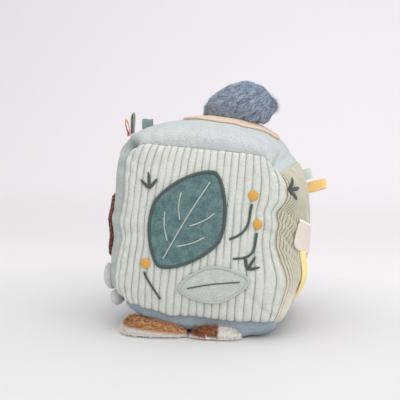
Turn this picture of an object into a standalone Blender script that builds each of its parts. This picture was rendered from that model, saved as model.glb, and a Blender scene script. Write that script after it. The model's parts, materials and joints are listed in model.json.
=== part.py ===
"""Soft fabric activity block: six sewn panels over fibre filling, with applique, tags, pads and a pom-pom.

Metres, +Z up, front face towards -Y. The block leans to its right, because two plush pads lie under
its front left edge, so most pieces hang from an empty that holds that stance.
"""
import math

import bmesh
import bpy
from mathutils import Matrix, Vector

for old in list(bpy.data.objects):
    bpy.data.objects.remove(old, do_unlink=True)

# Cover: half sizes seam to seam, and how far each side swells past its seams
HALF_WIDTH = 0.066
HALF_DEPTH = 0.068
HALF_HEIGHT = 0.069
FRONT_SWELL = 0.009
BACK_SWELL = 0.009
TOP_SWELL = 0.024
BOTTOM_SWELL = 0.024
RIGHT_SWELL = 0.020
LEFT_SWELL = 0.0165
LEFT_RISE_SHARE = 0.25
TOP_LEFT_SWELL = 0.010
SHOULDER = 0.0045
CORNER_SWELL = 0.0045
SQUARENESS = 8
SWELL_SHARPNESS = 0.4
TAPER_SHARE = 0.05
FABRIC = 0.0012
SEAM_GAP = 0.0005
CLEARANCE = 0.0003

# Drawn-in seams: depth, height and spread along the right and left edges of the front
RIGHT_TUCK = 0.008
RIGHT_TUCK_SHARE = 0.03
RIGHT_TUCK_SPREAD_SHARE = 0.29
LEFT_TUCK = 0.003
LEFT_TUCK_SHARE = -0.12
LEFT_TUCK_SPREAD_SHARE = 0.18

# Wide-wale cord of the front
RIBS = 22
RIB_HEIGHT = 0.0013
RIB_ROWS = 12

# Stance
LEAN_DEGREES = 5.4
CENTRE_HEIGHT = 0.086
STANCE_X = -0.0044
STANCE_Y = 0.0024

# Filling and rattle
SPLIT_GAP = 0.0003
FILLING_GAP = 0.0011
RATTLE_RADIUS = 0.014
RATTLE_WALL = 0.0012
POCKET_CLEARANCE = 0.0008
BEAD_RADIUS = 0.0025
BEAD_PITCH = 0.006
BEAD_PLAY = 0.0008

# Applique on the front: places are across and up from the middle of the face
PATCH = 0.0011
PATCH_LIFT = 0.0003
THREAD_RADIUS = 0.0009
LEAF_HALF_LENGTH = 0.045
LEAF_HALF_WIDTH = 0.031
LEAF_X = -0.011
LEAF_Z = 0.011
LEAF_DEGREES = 64
PALE_HALF_LENGTH = 0.029
PALE_HALF_WIDTH = 0.0155
PALE_X = 0.014
PALE_Z = -0.038
PALE_DEGREES = 14
LEAF_SHARPNESS = 1.5
BERRY_RADIUS = 0.0042
SPRIG_RADIUS = 0.0072

# Sewn pieces on the other faces
DISC_RADIUS_X = 0.044
DISC_RADIUS_Y = 0.041
DISC_X = 0.008
DISC_Y = 0.002
DISC_THICKNESS = 0.0016
DISC_LIFT = 0.0005
BOUCLE_THICKNESS = 0.0036
BOUCLE_LIFT = 0.0009
BOUCLE_HALF_WIDTH = 0.027
BOUCLE_HALF_HEIGHT = 0.0265
BOUCLE_Y = -0.032
BOUCLE_Z = -0.006
PATCH_CORNER_SHARPNESS = 2.4
FLAP_CORNER_SHARPNESS = 5
FLAP_HALF_WIDTH = 0.020
FLAP_HALF_HEIGHT = 0.0125
FLAP_Y = -0.034
FLAP_Z = 0.002
FLAP_THICKNESS = 0.0014
FLAP_LIFT = 0.0008
STRIP_HALF_WIDTH = 0.0030
STRIP_HALF_LENGTH = 0.0185
STRIP_Y = -0.050
STRIP_Z = -0.0305
STRIP_DEGREES = 108
SIDE_SPRIG_Y = -0.057
SIDE_SPRIG_Z = 0.042

# Pom-pom and its tie
POMPOM_X = 0.0125
POMPOM_Y = 0.002
POMPOM_RADIUS_X = 0.0325
POMPOM_RADIUS_Y = 0.030
POMPOM_RADIUS_Z = 0.0185
POMPOM_FLAT_SHARE = 0.66
POMPOM_RISE_SHARE = 0.12
POMPOM_LUMP_SHARE = 0.05
POMPOM_LIFT = 0.0004
TIE_RADIUS = 0.002

# Ribbon tags
RIBBON = 0.0005
TAG_WIDTH = 0.010
TAG_SPREAD = 0.0017
TAG_ROOT = 0.0008
TAG_LIFT = 0.0008
TAG_DIP_SHARE = 0.75
SIDE_TAG_LIFT = 0.0010

# Plush pads under the front left edge, which lie on the floor: how far they stand out past the
# front seam and reach back under the block, and where they start and end across it
PAD_OUT = 0.007
PAD_ONE_UNDER = 0.034
PAD_ONE_LEFT = -0.071
PAD_ONE_RIGHT = -0.0125
PAD_ONE_HEIGHT = 0.0215
PAD_TWO_UNDER = 0.0075
PAD_TWO_LEFT = -0.0115
PAD_TWO_RIGHT = 0.034
PAD_TWO_HEIGHT = 0.0115
PAD_EDGE = 0.003
PAD_ROUND = 0.0015
PAD_CLEARANCE = 0.0012
PAD_CORNER_SHARPNESS = 2.6

# Stuffed tabs at the foot of the left side
TAB_HALF_THICKNESS = 0.0058
TAB_OUT_SHARE = 0.6
TAB_ONE_HALF_WIDTH = 0.012
TAB_ONE_HALF_HEIGHT = 0.0115
TAB_ONE_Y = -0.030
TAB_ONE_Z = -0.050
TAB_TWO_HALF_WIDTH = 0.0095
TAB_TWO_HALF_HEIGHT = 0.0066
TAB_TWO_Y = -0.038
TAB_TWO_Z = -0.0655

LEAN = math.radians(LEAN_DEGREES)
UP = Vector((0, 0, 1))

block = bpy.data.collections.new("soft_fabric_block")
bpy.context.scene.collection.children.link(block)
cutters = bpy.data.collections.new("cutters")
bpy.context.scene.collection.children.link(cutters)


def empty(name, place, parent=None, turn=None):
    """An unseen holder: a stance, or the axis that a moving piece turns about (its local X)."""
    holder = bpy.data.objects.new(name, None)
    block.objects.link(holder)
    holder.parent = parent
    holder.location = place
    if turn is not None:
        holder.rotation_euler = turn.to_euler()
    return holder


stance = empty("block_stance", (STANCE_X, STANCE_Y, CENTRE_HEIGHT))
stance.rotation_euler = (0, LEAN, 0)
floor_stance = empty("floor_stance", (STANCE_X, STANCE_Y, 0))


def material(name, colour, roughness=0.9):
    cloth = bpy.data.materials.new(name)
    cloth.use_nodes = True
    shader = cloth.node_tree.nodes["Principled BSDF"]
    shader.inputs["Base Color"].default_value = (*colour, 1)
    shader.inputs["Roughness"].default_value = roughness
    shader.inputs["Metallic"].default_value = 0
    cloth.diffuse_color = (*colour, 1)
    return cloth


MINT_CORD = material("mint_cord", (0.66, 0.72, 0.66))
SAGE_CORD = material("sage_cord", (0.48, 0.49, 0.36))
SAGE_VELOUR = material("sage_velour", (0.42, 0.50, 0.44))
PALE_VELOUR = material("pale_velour", (0.64, 0.69, 0.71))
BLUE_VELOUR = material("blue_velour", (0.26, 0.33, 0.45))
TEAL_VELOUR = material("teal_velour", (0.13, 0.24, 0.25))
GREY_VELOUR = material("grey_velour", (0.50, 0.56, 0.50))
DARK_THREAD = material("dark_thread", (0.07, 0.10, 0.09), 0.6)
PALE_THREAD = material("pale_thread", (0.60, 0.66, 0.62), 0.6)
OCHRE = material("ochre_felt", (0.66, 0.37, 0.08))
PEACH = material("peach_velour", (0.82, 0.60, 0.42))
BLUE_FUR = material("blue_fur", (0.20, 0.29, 0.42))
BROWN_PLUSH = material("brown_plush", (0.42, 0.17, 0.06))
CREAM_PLUSH = material("cream_plush", (0.80, 0.74, 0.66))
BOUCLE = material("brown_boucle", (0.20, 0.08, 0.05))
BEIGE_VELOUR = material("beige_velour", (0.74, 0.66, 0.57))
LOBE_GREY = material("lobe_grey", (0.55, 0.57, 0.57))
YELLOW_RIBBON = material("yellow_ribbon", (0.80, 0.55, 0.15), 0.5)
ORANGE_RIBBON = material("orange_ribbon", (0.66, 0.20, 0.06), 0.5)
GREEN_RIBBON = material("green_ribbon", (0.40, 0.42, 0.26), 0.5)
TEAL_RIBBON = material("teal_ribbon", (0.21, 0.33, 0.29), 0.5)
GREY_RIBBON = material("grey_ribbon", (0.48, 0.54, 0.48), 0.5)
FIBRE = material("fibre_filling", (0.90, 0.90, 0.88))
PLASTIC = material("rattle_plastic", (0.85, 0.85, 0.82), 0.4)
BEAD = material("bead_plastic", (0.60, 0.60, 0.62), 0.3)


def from_world(point):
    """A point of the floor's frame, seen from the leaning block."""
    x, y, z = point
    high = z - CENTRE_HEIGHT
    across = x * math.cos(LEAN) - high * math.sin(LEAN)
    return Vector((across, y, x * math.sin(LEAN) + high * math.cos(LEAN)))


def to_world(point):
    x, y, z = point
    high = CENTRE_HEIGHT - x * math.sin(LEAN) + z * math.cos(LEAN)
    return Vector((x * math.cos(LEAN) + z * math.sin(LEAN), y, high))


def above_floor(point):
    """The block's weight presses what would hang below the floor flat."""
    lowest = (point.x * math.sin(LEAN) - CENTRE_HEIGHT) / math.cos(LEAN)
    return Vector((point.x, point.y, max(point.z, lowest)))


def deeper(point, depth):
    """The same place, depth further in towards the middle of the block."""
    return point * (1 - depth / HALF_WIDTH)


def tucked(x, across, up, back):
    """Pulls the front's edge in where its side seams are tight, and lets the top left corner out."""
    near = ((1 - back) / 2) ** 3
    right = math.exp(-((up - RIGHT_TUCK_SHARE) / RIGHT_TUCK_SPREAD_SHARE) ** 2) * max(across, 0) ** 4
    left = math.exp(-((up - LEFT_TUCK_SHARE) / LEFT_TUCK_SPREAD_SHARE) ** 2) * max(-across, 0) ** 4
    shoulder = max(up, 0) ** 2 * max(-across, 0) ** 4
    return x - RIGHT_TUCK * right * near + LEFT_TUCK * left * near - SHOULDER * shoulder


def square_place(across, up):
    """Rounds the corners of the square that across and up, -1 to 1, run over."""
    pull = (1 + abs(across * up) ** SQUARENESS) ** (-1 / SQUARENESS)
    return HALF_WIDTH * across * pull * (1 - TAPER_SHARE * up), HALF_HEIGHT * up * pull


def face(across, up, depth=0, back=-1, relief=0):
    """A point of the front (back = -1) or back (back = 1) panel."""
    x, z = square_place(across, up)
    x = tucked(x, across, up, back)
    crown = (max(1 - across ** 2, 0) * max(1 - up ** 2, 0)) ** SWELL_SHARPNESS
    swell = FRONT_SWELL if back < 0 else BACK_SWELL
    y = back * (HALF_DEPTH + swell * crown + relief)
    return deeper(above_floor(Vector((x, y, z))), depth)


def side_square(turn):
    """Goes round the square: 0 the top's middle, 2 right, 4 bottom, 6 left, odd numbers the corners."""
    side = round(turn / 2) % 4
    along = math.sin(math.pi / 2 * (turn - 2 * round(turn / 2)))
    return ((along, 1), (1, -along), (-along, -1), (-1, along))[side]


def band(across, up, back, depth=0):
    """A point of the four-piece band between front and back; across or up is 1 or -1."""
    x, z = square_place(across, up)
    lean_x = math.copysign(abs(across) ** (SQUARENESS - 1), across)
    lean_z = math.copysign(abs(up) ** (SQUARENESS - 1), up)
    length = math.hypot(lean_x, lean_z)
    lean_x /= length
    lean_z /= length
    rise = TOP_SWELL if up > 0 else BOTTOM_SWELL
    spread = RIGHT_SWELL if across > 0 else LEFT_SWELL
    swell = CORNER_SWELL + (rise - CORNER_SWELL) * abs(lean_z) * max(1 - across ** 2, 0)
    fuller = 1 + LEFT_RISE_SHARE * up if across < 0 else 1
    swell += (spread - CORNER_SWELL) * abs(lean_x) * max(1 - up ** 2, 0) * fuller
    swell += TOP_LEFT_SWELL * (max(-across, 0) ** 2 * max(up, 0)) ** 2
    swell *= max(1 - back ** 2, 0) ** SWELL_SHARPNESS
    x = tucked(x + lean_x * swell, across, up, back)
    return deeper(above_floor(Vector((x, HALF_DEPTH * back, z + lean_z * swell))), depth)


def raised(place, first, second, lift, step=0.01):
    """The place, lifted along the cover's own outward direction there."""
    here = place(first, second)
    slope_a = place(first + step, second) - place(first - step, second)
    slope_b = place(first, second + step) - place(first, second - step)
    out = slope_a.cross(slope_b).normalized()
    if out.dot(here) < 0:
        out = -out
    return here + out * lift, out


def on_front(x, z, lift):
    return raised(lambda a, c: face(a, c), x / HALF_WIDTH, z / HALF_HEIGHT, lift)[0]


def on_top(x, y, lift):
    return raised(lambda a, b: band(a, 1, b), x / HALF_WIDTH, y / HALF_DEPTH, lift)[0]


def on_right(y, z, lift):
    return raised(lambda b, c: band(1, c, b), y / HALF_DEPTH, z / HALF_HEIGHT, lift)[0]


def on_left(y, z, lift):
    return raised(lambda b, c: band(-1, c, b), y / HALF_DEPTH, z / HALF_HEIGHT, lift)[0]


def finish(name, mesh_data, cloth, parent=stance):
    piece = bpy.data.objects.new(name, mesh_data)
    block.objects.link(piece)
    piece.parent = parent
    mesh_data.materials.append(cloth)
    mesh_data.shade_smooth()
    mesh_data.set_sharp_from_angle(angle=math.radians(50))
    return piece


def sheet(name, outer, inner, columns, rows, cloth, parent=stance):
    """A closed sheet of fabric between two surfaces over the square from -1 to 1."""
    cells = bmesh.new()
    bmesh.ops.create_grid(cells, x_segments=columns, y_segments=rows, size=1)
    grown = bmesh.ops.extrude_face_region(cells, geom=cells.faces[:], use_keep_orig=True)
    inside = {part for part in grown["geom"] if isinstance(part, bmesh.types.BMVert)}
    for corner in cells.verts:
        surface = inner if corner in inside else outer
        corner.co = surface(corner.co.x, corner.co.y)
    bmesh.ops.recalc_face_normals(cells, faces=cells.faces[:])
    if cells.calc_volume(signed=True) < 0:
        bmesh.ops.reverse_faces(cells, faces=cells.faces[:])
    data = bpy.data.meshes.new(name)
    cells.to_mesh(data)
    cells.free()
    return finish(name, data, cloth, parent)


def eased(share):
    return math.sin(math.pi / 2 * share)


def band_panel(name, first, last, rows, cloth):
    """One piece of the band, from one cross seam to the next, kept the seam gap short of both."""
    columns = last - first

    def surface(u, v, depth):
        column = round((u + 1) / 2 * columns)
        back = eased(v)
        point = band(*side_square((first + column) / STEPS_TO_CORNER), back, depth)
        if column in (0, columns):
            neighbour = first + (1 if column == 0 else columns - 1)
            beside = band(*side_square(neighbour / STEPS_TO_CORNER), back, depth)
            point += (beside - point).normalized() * SEAM_GAP
        return point

    sheet(name, lambda u, v: surface(u, v, 0), lambda u, v: surface(u, v, FABRIC), columns, rows, cloth)


def face_panel(name, back, columns, rows, cloth, ribs=0):
    """The front or back panel, inset by the seam gap all round."""
    inset = 1 - SEAM_GAP / HALF_WIDTH

    def surface(u, v, depth):
        column = round((u + 1) / 2 * columns)
        across = u if ribs else eased(u)
        relief = RIB_HEIGHT * (column % 2) * (1 - v ** 6) if ribs else 0
        point = face(across, eased(v), depth, back, relief if depth == 0 else 0)
        return Vector((point.x * inset, point.y, point.z * inset))

    sheet(name, lambda u, v: surface(u, v, 0), lambda u, v: surface(u, v, FABRIC), columns, rows, cloth)


face_panel("front_panel", -1, 2 * RIBS, RIB_ROWS, MINT_CORD, RIBS)
face_panel("back_panel", 1, 12, 12, SAGE_VELOUR)

# Cross seams of the band, counted in steps round the square from the middle of the top
STEPS_TO_CORNER = 6
TOP_LEFT_SEAM = -6
TOP_RIGHT_SEAM = 8
BOTTOM_RIGHT_SEAM = 18
BOTTOM_LEFT_SEAM = 30
ALL_ROUND = 48
BAND_ROWS = 10
band_panel("top_panel", TOP_LEFT_SEAM, TOP_RIGHT_SEAM, BAND_ROWS, PALE_VELOUR)
band_panel("right_panel", TOP_RIGHT_SEAM, BOTTOM_RIGHT_SEAM, BAND_ROWS, SAGE_CORD)
band_panel("bottom_panel", BOTTOM_RIGHT_SEAM, BOTTOM_LEFT_SEAM, BAND_ROWS, BLUE_VELOUR)
band_panel("left_panel", BOTTOM_LEFT_SEAM, ALL_ROUND + TOP_LEFT_SEAM, BAND_ROWS, SAGE_VELOUR)


def filling(name, back):
    """Half of the fibre filling: the face in the middle of the grid, the band round it, flat inside."""
    face_share = 0.6
    depth = FABRIC + FILLING_GAP
    split = SPLIT_GAP / HALF_DEPTH

    def outside(u, v):
        ring = max(abs(u), abs(v))
        if ring <= face_share + 1e-6:
            return face(eased(u / face_share), eased(v / face_share), depth, back)
        along = (ring - face_share) / (1 - face_share)
        place = eased(1 - along) * (1 - 2 * split) + 2 * split
        return band(eased(u / ring), eased(v / ring), back * place, depth)

    def inside(u, v):
        ring = max(abs(u), abs(v))
        if ring < SPLIT_GAP:
            return Vector((0, back * SPLIT_GAP, 0))
        rim = band(eased(u / ring), eased(v / ring), back * split, depth)
        return Vector((rim.x * ring, back * SPLIT_GAP, rim.z * ring))

    half = sheet(name, outside, inside, 10, 10, FIBRE)
    bpy.ops.mesh.primitive_uv_sphere_add(
        segments=16, ring_count=8, radius=RATTLE_RADIUS + POCKET_CLEARANCE)
    pocket = bpy.context.object
    pocket.name = name + "_pocket"
    pocket.parent = stance
    pocket.hide_render = True
    pocket.display_type = "WIRE"
    for home in list(pocket.users_collection):
        home.objects.unlink(pocket)
    cutters.objects.link(pocket)
    cut = half.modifiers.new("pocket", "BOOLEAN")
    cut.operation = "DIFFERENCE"
    cut.solver = "EXACT"
    cut.object = pocket


filling("filling_front", -1)
filling("filling_back", 1)


def disc(u, v):
    """Where a point of the square lands on a round sheet: its share of the radius, and its direction."""
    ring = max(abs(u), abs(v))
    if ring < 1e-6:
        return 0, 0
    if abs(u) >= abs(v):
        quarter = v / u * math.pi / 4 + (math.pi if u < 0 else 0)
    else:
        quarter = math.pi / 2 - u / v * math.pi / 4 + (math.pi if v < 0 else 0)
    return ring, quarter


def rattle_shell(name, back):
    """Half of the rattle's capsule: a hollow hemisphere, its rim at the split."""

    def surface(u, v, radius):
        share, turn = disc(u, v)
        tilt = math.pi / 2 * share
        ring = radius * math.sin(tilt)
        out = max(radius * math.cos(tilt), SPLIT_GAP / 2)
        return Vector((ring * math.cos(turn), back * out, ring * math.sin(turn)))

    inner_radius = RATTLE_RADIUS - RATTLE_WALL
    sheet(
        name, lambda u, v: surface(u, v, RATTLE_RADIUS), lambda u, v: surface(u, v, inner_radius), 6, 6,
        PLASTIC)


rattle_shell("rattle_shell_front", -1)
rattle_shell("rattle_shell_back", 1)

for number, column in enumerate((-1, 0, 1), 1):
    reach = RATTLE_RADIUS - RATTLE_WALL - BEAD_RADIUS - BEAD_PLAY
    aside = column * BEAD_PITCH
    rest = Vector((STANCE_X + aside, STANCE_Y, CENTRE_HEIGHT - math.sqrt(reach ** 2 - aside ** 2)))
    bead_data = bpy.data.meshes.new(f"rattle_bead_{number}")
    bead_cells = bmesh.new()
    bmesh.ops.create_uvsphere(bead_cells, u_segments=10, v_segments=6, radius=BEAD_RADIUS)
    bead_cells.to_mesh(bead_data)
    bead_cells.free()
    bead = finish(f"rattle_bead_{number}", bead_data, BEAD, None)
    bead.location = rest


def leaf_radius(angle, half_length, half_width, point=LEAF_SHARPNESS):
    reach = (abs(math.cos(angle)) / half_length) ** point + (abs(math.sin(angle)) / half_width) ** point
    return reach ** (-1 / point)


def patch(name, place, centre, outline, cells, cloth, thickness=PATCH, lift=PATCH_LIFT, parent=stance):
    """A piece of cloth laid on the cover, cut to the outline, which gives a radius for each direction."""

    def surface(u, v, high):
        share, angle = disc(u, v)
        radius = share * outline(angle)
        return place(centre[0] + radius * math.cos(angle), centre[1] + radius * math.sin(angle), high)

    def top(u, v):
        return surface(u, v, lift + thickness)

    def under(u, v):
        return surface(u, v, lift)

    return sheet(name, top, under, cells, cells, cloth, parent)


def thread(name, points, cloth, closed=False):
    """A line of satin stitch or cord: a round tube through the points."""
    line = bpy.data.curves.new(name, "CURVE")
    line.dimensions = "3D"
    line.bevel_depth = THREAD_RADIUS
    line.bevel_resolution = 1
    line.use_fill_caps = not closed
    path = line.splines.new("POLY")
    path.points.add(len(points) - 1)
    for spot, point in zip(path.points, points):
        spot.co = (*point, 1)
    path.use_cyclic_u = closed
    line.materials.append(cloth)
    piece = bpy.data.objects.new(name, line)
    block.objects.link(piece)
    piece.parent = stance


def leaf_outline(half_length, half_width, degrees):
    turn = math.radians(degrees)
    return lambda angle: leaf_radius(angle - turn, half_length, half_width)


def around(place, centre, outline, count, lift):
    """Points round an outline on the cover."""
    ring = []
    for step in range(count):
        angle = math.tau * step / count
        radius = outline(angle)
        ring.append(place(centre[0] + radius * math.cos(angle), centre[1] + radius * math.sin(angle), lift))
    return ring


RIB_TOP = RIB_HEIGHT + PATCH_LIFT
ON_PATCH = RIB_TOP + PATCH + THREAD_RADIUS + CLEARANCE
BORDER_MARGIN = 0.0014


def leaf_with_border(name, centre, half_length, half_width, degrees, cells, cloth, border_cloth):
    outline = leaf_outline(half_length, half_width, degrees)
    patch(name, on_front, centre, outline, cells, cloth, PATCH, RIB_TOP)
    rim = leaf_outline(half_length - 2 * BORDER_MARGIN, half_width - BORDER_MARGIN, degrees)
    edge = around(on_front, centre, rim, 32, ON_PATCH)
    thread(name + "_border", edge, border_cloth, closed=True)


def along_leaf(centre, degrees, ahead, aside):
    turn = math.radians(degrees)
    return (centre[0] + ahead * math.cos(turn) - aside * math.sin(turn),
            centre[1] + ahead * math.sin(turn) + aside * math.cos(turn))


def vein(name, centre, degrees, start, end, bend, cloth, count=9):
    """A stitched line from start to end, each given along and across the leaf, bowed by bend."""
    points = []
    for step in range(count):
        share = step / (count - 1)
        ahead = start[0] + (end[0] - start[0]) * share
        aside = start[1] + (end[1] - start[1]) * share + bend * math.sin(math.pi * share)
        x, z = along_leaf(centre, degrees, ahead, aside)
        points.append(on_front(x, z, ON_PATCH))
    thread(name, points, cloth)


LEAF_CENTRE = (LEAF_X, LEAF_Z)
PALE_CENTRE = (PALE_X, PALE_Z)
leaf_with_border(
    "leaf", LEAF_CENTRE, LEAF_HALF_LENGTH, LEAF_HALF_WIDTH, LEAF_DEGREES, 10, TEAL_VELOUR, DARK_THREAD)
leaf_with_border(
    "pale_leaf", PALE_CENTRE, PALE_HALF_LENGTH, PALE_HALF_WIDTH, PALE_DEGREES, 8, GREY_VELOUR, PALE_THREAD)

LEAF_VEIN_SHARES = {
    "leaf_vein_middle": ((-0.80, 0.0), (0.78, 0.0), 0.04),
    "leaf_vein_upper_left": ((-0.05, 0.17), (0.36, 0.50), 0.05),
    "leaf_vein_lower_left": ((-0.48, 0.17), (-0.08, 0.60), 0.05),
    "leaf_vein_upper_right": ((-0.05, -0.13), (0.36, -0.50), -0.05),
    "leaf_vein_lower_right": ((-0.48, -0.13), (-0.08, -0.60), -0.05),
}
for vein_name, (start_share, end_share, bend_share) in LEAF_VEIN_SHARES.items():
    vein(
        vein_name, LEAF_CENTRE, LEAF_DEGREES,
        (start_share[0] * LEAF_HALF_LENGTH, start_share[1] * LEAF_HALF_WIDTH),
        (end_share[0] * LEAF_HALF_LENGTH, end_share[1] * LEAF_HALF_WIDTH),
        bend_share * LEAF_HALF_WIDTH, PALE_THREAD)
vein(
    "pale_leaf_vein", PALE_CENTRE, PALE_DEGREES, (-0.7 * PALE_HALF_LENGTH, 0), (0.7 * PALE_HALF_LENGTH, 0),
    0.06 * PALE_HALF_WIDTH, DARK_THREAD)

# Berries and their stems, as shares of the front's half width and half height; a stem bows sideways
BERRY_SHARES = {"berry_upper": (0.60, 0.52), "berry_middle": (0.70, 0.20), "berry_lower": (-0.62, -0.40)}
STEM_SHARES = {
    "stem_upper": ((0.36, 0.00), (0.60, 0.42), 0.07),
    "stem_middle": ((0.42, -0.22), (0.70, 0.10), 0.08),
    "stem_lower": ((-0.40, -0.80), (-0.62, -0.50), -0.07),
}
STEM_POINTS = 8


def on_front_shares(across, up, lift):
    return on_front(across * HALF_WIDTH, up * HALF_HEIGHT, lift)


for berry_name, share in BERRY_SHARES.items():
    patch(
        berry_name, on_front, (share[0] * HALF_WIDTH, share[1] * HALF_HEIGHT),
        lambda angle: BERRY_RADIUS, 4, OCHRE, PATCH, RIB_TOP)
for stem_name, (start_share, end_share, bow_share) in STEM_SHARES.items():
    stem = []
    for step in range(STEM_POINTS):
        share = step / (STEM_POINTS - 1)
        bow = bow_share * math.sin(math.pi * share)
        across = start_share[0] + (end_share[0] - start_share[0]) * share + bow
        up = start_share[1] + (end_share[1] - start_share[1]) * share - bow
        stem.append(on_front_shares(across, up, RIB_TOP + THREAD_RADIUS))
    thread(stem_name, stem, DARK_THREAD)


def sprig_radius(angle, degrees, toes=3):
    """Three narrow leaves from one point."""
    turn = angle - math.radians(degrees)
    fold = abs(math.cos(toes / 2 * turn))
    return SPRIG_RADIUS * (0.22 + 0.78 * fold ** 5)


for sprig_name, share, degrees in (("sprig_left", (-0.68, 0.56), 100), ("sprig_right", (0.64, -0.26), 60)):
    patch(
        sprig_name, on_front, (share[0] * HALF_WIDTH, share[1] * HALF_HEIGHT),
        lambda angle, degrees=degrees: sprig_radius(angle, degrees), 8, DARK_THREAD, PATCH, RIB_TOP)

# Top: a round peach patch with a stitched rim, and the pom-pom tied through it
DISC_CENTRE = (DISC_X, DISC_Y)


def disc_outline(angle, shrink=0):
    return leaf_radius(angle, DISC_RADIUS_X - shrink, DISC_RADIUS_Y - shrink, 2)


patch("peach_disc", on_top, DISC_CENTRE, disc_outline, 12, PEACH, DISC_THICKNESS, DISC_LIFT)
DISC_TOP = DISC_LIFT + DISC_THICKNESS
thread(
    "peach_disc_border",
    around(on_top, DISC_CENTRE, lambda angle: disc_outline(angle, 2 * BORDER_MARGIN), 32,
           DISC_TOP + THREAD_RADIUS + CLEARANCE),
    PEACH, closed=True)

tie_middle, tie_out = raised(
    lambda a, b: band(a, 1, b), POMPOM_X / HALF_WIDTH, POMPOM_Y / HALF_DEPTH,
    DISC_TOP + CLEARANCE + TIE_RADIUS)
tie_turn = UP.rotation_difference(tie_out).to_matrix()
nod_pivot = empty("pompom_nod_pivot", tie_middle, stance, tie_turn)
tie_cells = bmesh.new()
bmesh.ops.create_uvsphere(tie_cells, u_segments=12, v_segments=8, radius=TIE_RADIUS)
tie_data = bpy.data.meshes.new("pompom_tie")
tie_cells.to_mesh(tie_data)
tie_cells.free()
finish("pompom_tie", tie_data, PALE_THREAD, nod_pivot)


def pompom():
    """A fur ball, flatter below, where it rises from the tie clear of the dome when it rocks."""
    cells = bmesh.new()
    bmesh.ops.create_uvsphere(cells, u_segments=22, v_segments=14, radius=1)
    for corner in cells.verts:
        x, y, z = corner.co
        swirl = math.atan2(y, x)
        level = math.hypot(x, y)
        lump = 1 + POMPOM_LUMP_SHARE * level * (math.cos(3 * swirl) + math.cos(5 * swirl) * z + x)
        squash = 1 if z > 0 else POMPOM_FLAT_SHARE
        high = z * squash + POMPOM_FLAT_SHARE + POMPOM_RISE_SHARE * x * level
        corner.co = Vector((POMPOM_RADIUS_X * x * lump, POMPOM_RADIUS_Y * y * lump, POMPOM_RADIUS_Z * high))
    data = bpy.data.meshes.new("pompom")
    cells.to_mesh(data)
    cells.free()
    return data


rock_pivot = empty("pompom_rock_pivot", (0, 0, 0), nod_pivot)
fur_ball = finish("pompom", pompom(), BLUE_FUR, rock_pivot)
fur_ball.location = (0, 0, TIE_RADIUS + POMPOM_LIFT)


def tag(name, root, out, along, length, cloth, width=TAG_WIDTH, spread=TAG_SPREAD):
    """A ribbon folded in half, its two ends sewn into a seam; it bends about its root."""
    sideways = out.cross(along).normalized()
    out = out.normalized()
    along = sideways.cross(out).normalized()
    turn = Matrix((along, sideways, out)).transposed()
    pivot = empty(name + "_pivot", root, stance, turn)

    def layer(u, v, inward):
        aside = spread * math.sin(math.pi * u) + TAG_ROOT * u
        high = length * math.cos(math.pi / 2 * u)
        slope = Vector((
            0, spread * math.pi * math.cos(math.pi * u) + TAG_ROOT,
            -length * math.pi / 2 * math.sin(math.pi / 2 * u)))
        across = Vector((0, slope.z, -slope.y)).normalized()
        return Vector((width / 2 * v, aside, high)) + across * inward

    return sheet(
        name, lambda u, v: layer(u, v, 0), lambda u, v: layer(u, v, RIBBON), 16, 1, cloth, pivot)


def seam_tag(name, seam, back, length, cloth, lean_degrees=0, twist_degrees=0):
    """A tag in a cross seam, at its place back along the seam."""
    turn = seam / STEPS_TO_CORNER
    turned = abs(math.sin(math.radians(twist_degrees)) * math.sin(math.radians(lean_degrees)))
    dip = TAG_DIP_SHARE * TAG_WIDTH / 2 * turned
    root, out = raised(lambda b, t: band(*side_square(t), b), back, turn, TAG_LIFT + dip)
    along = Matrix.Rotation(math.radians(twist_degrees), 3, out) @ Vector((0, 1, 0))
    out = Matrix.Rotation(math.radians(lean_degrees), 3, Vector((0, 1, 0))) @ out
    return tag(name, root, out, along, length, cloth)


ORANGE_LENGTH = 0.016
GREEN_LENGTH = 0.020
TEAL_LENGTH = 0.0165
seam_tag("orange_tag", TOP_LEFT_SEAM, -0.70, ORANGE_LENGTH, ORANGE_RIBBON, 27)
seam_tag("green_tag", TOP_LEFT_SEAM, -0.48, GREEN_LENGTH, GREEN_RIBBON, 38)
seam_tag("teal_tag", TOP_LEFT_SEAM, 0.42, TEAL_LENGTH, TEAL_RIBBON, 33, 32)


def side_tag(name, up_share, back_share, length, rise_degrees, roll_degrees, cloth):
    """A tag beside the seam of the right and back panels, rolled a little towards the front."""
    rise = math.radians(rise_degrees)
    roll = math.radians(roll_degrees)
    root, _ = raised(lambda b, c: band(1, c, b), back_share, up_share, SIDE_TAG_LIFT)
    out = Vector((math.cos(rise), 0, math.sin(rise)))
    tag(name, root, out, Vector((0, math.sin(roll), math.cos(roll))), length, cloth)


YELLOW_LENGTH = 0.025
GREY_LENGTH = 0.0135
side_tag("yellow_tag", 0.46, 0.93, YELLOW_LENGTH, 21, 20, YELLOW_RIBBON)
side_tag("grey_tag", 0.64, 0.93, GREY_LENGTH, 26, 10, GREY_RIBBON)

# Left: a shaggy patch, and two stuffed tabs at the foot
patch(
    "boucle_patch", on_left, (BOUCLE_Y, BOUCLE_Z),
    lambda angle: leaf_radius(angle, BOUCLE_HALF_WIDTH, BOUCLE_HALF_HEIGHT, PATCH_CORNER_SHARPNESS),
    10, BOUCLE, BOUCLE_THICKNESS, BOUCLE_LIFT)


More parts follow.
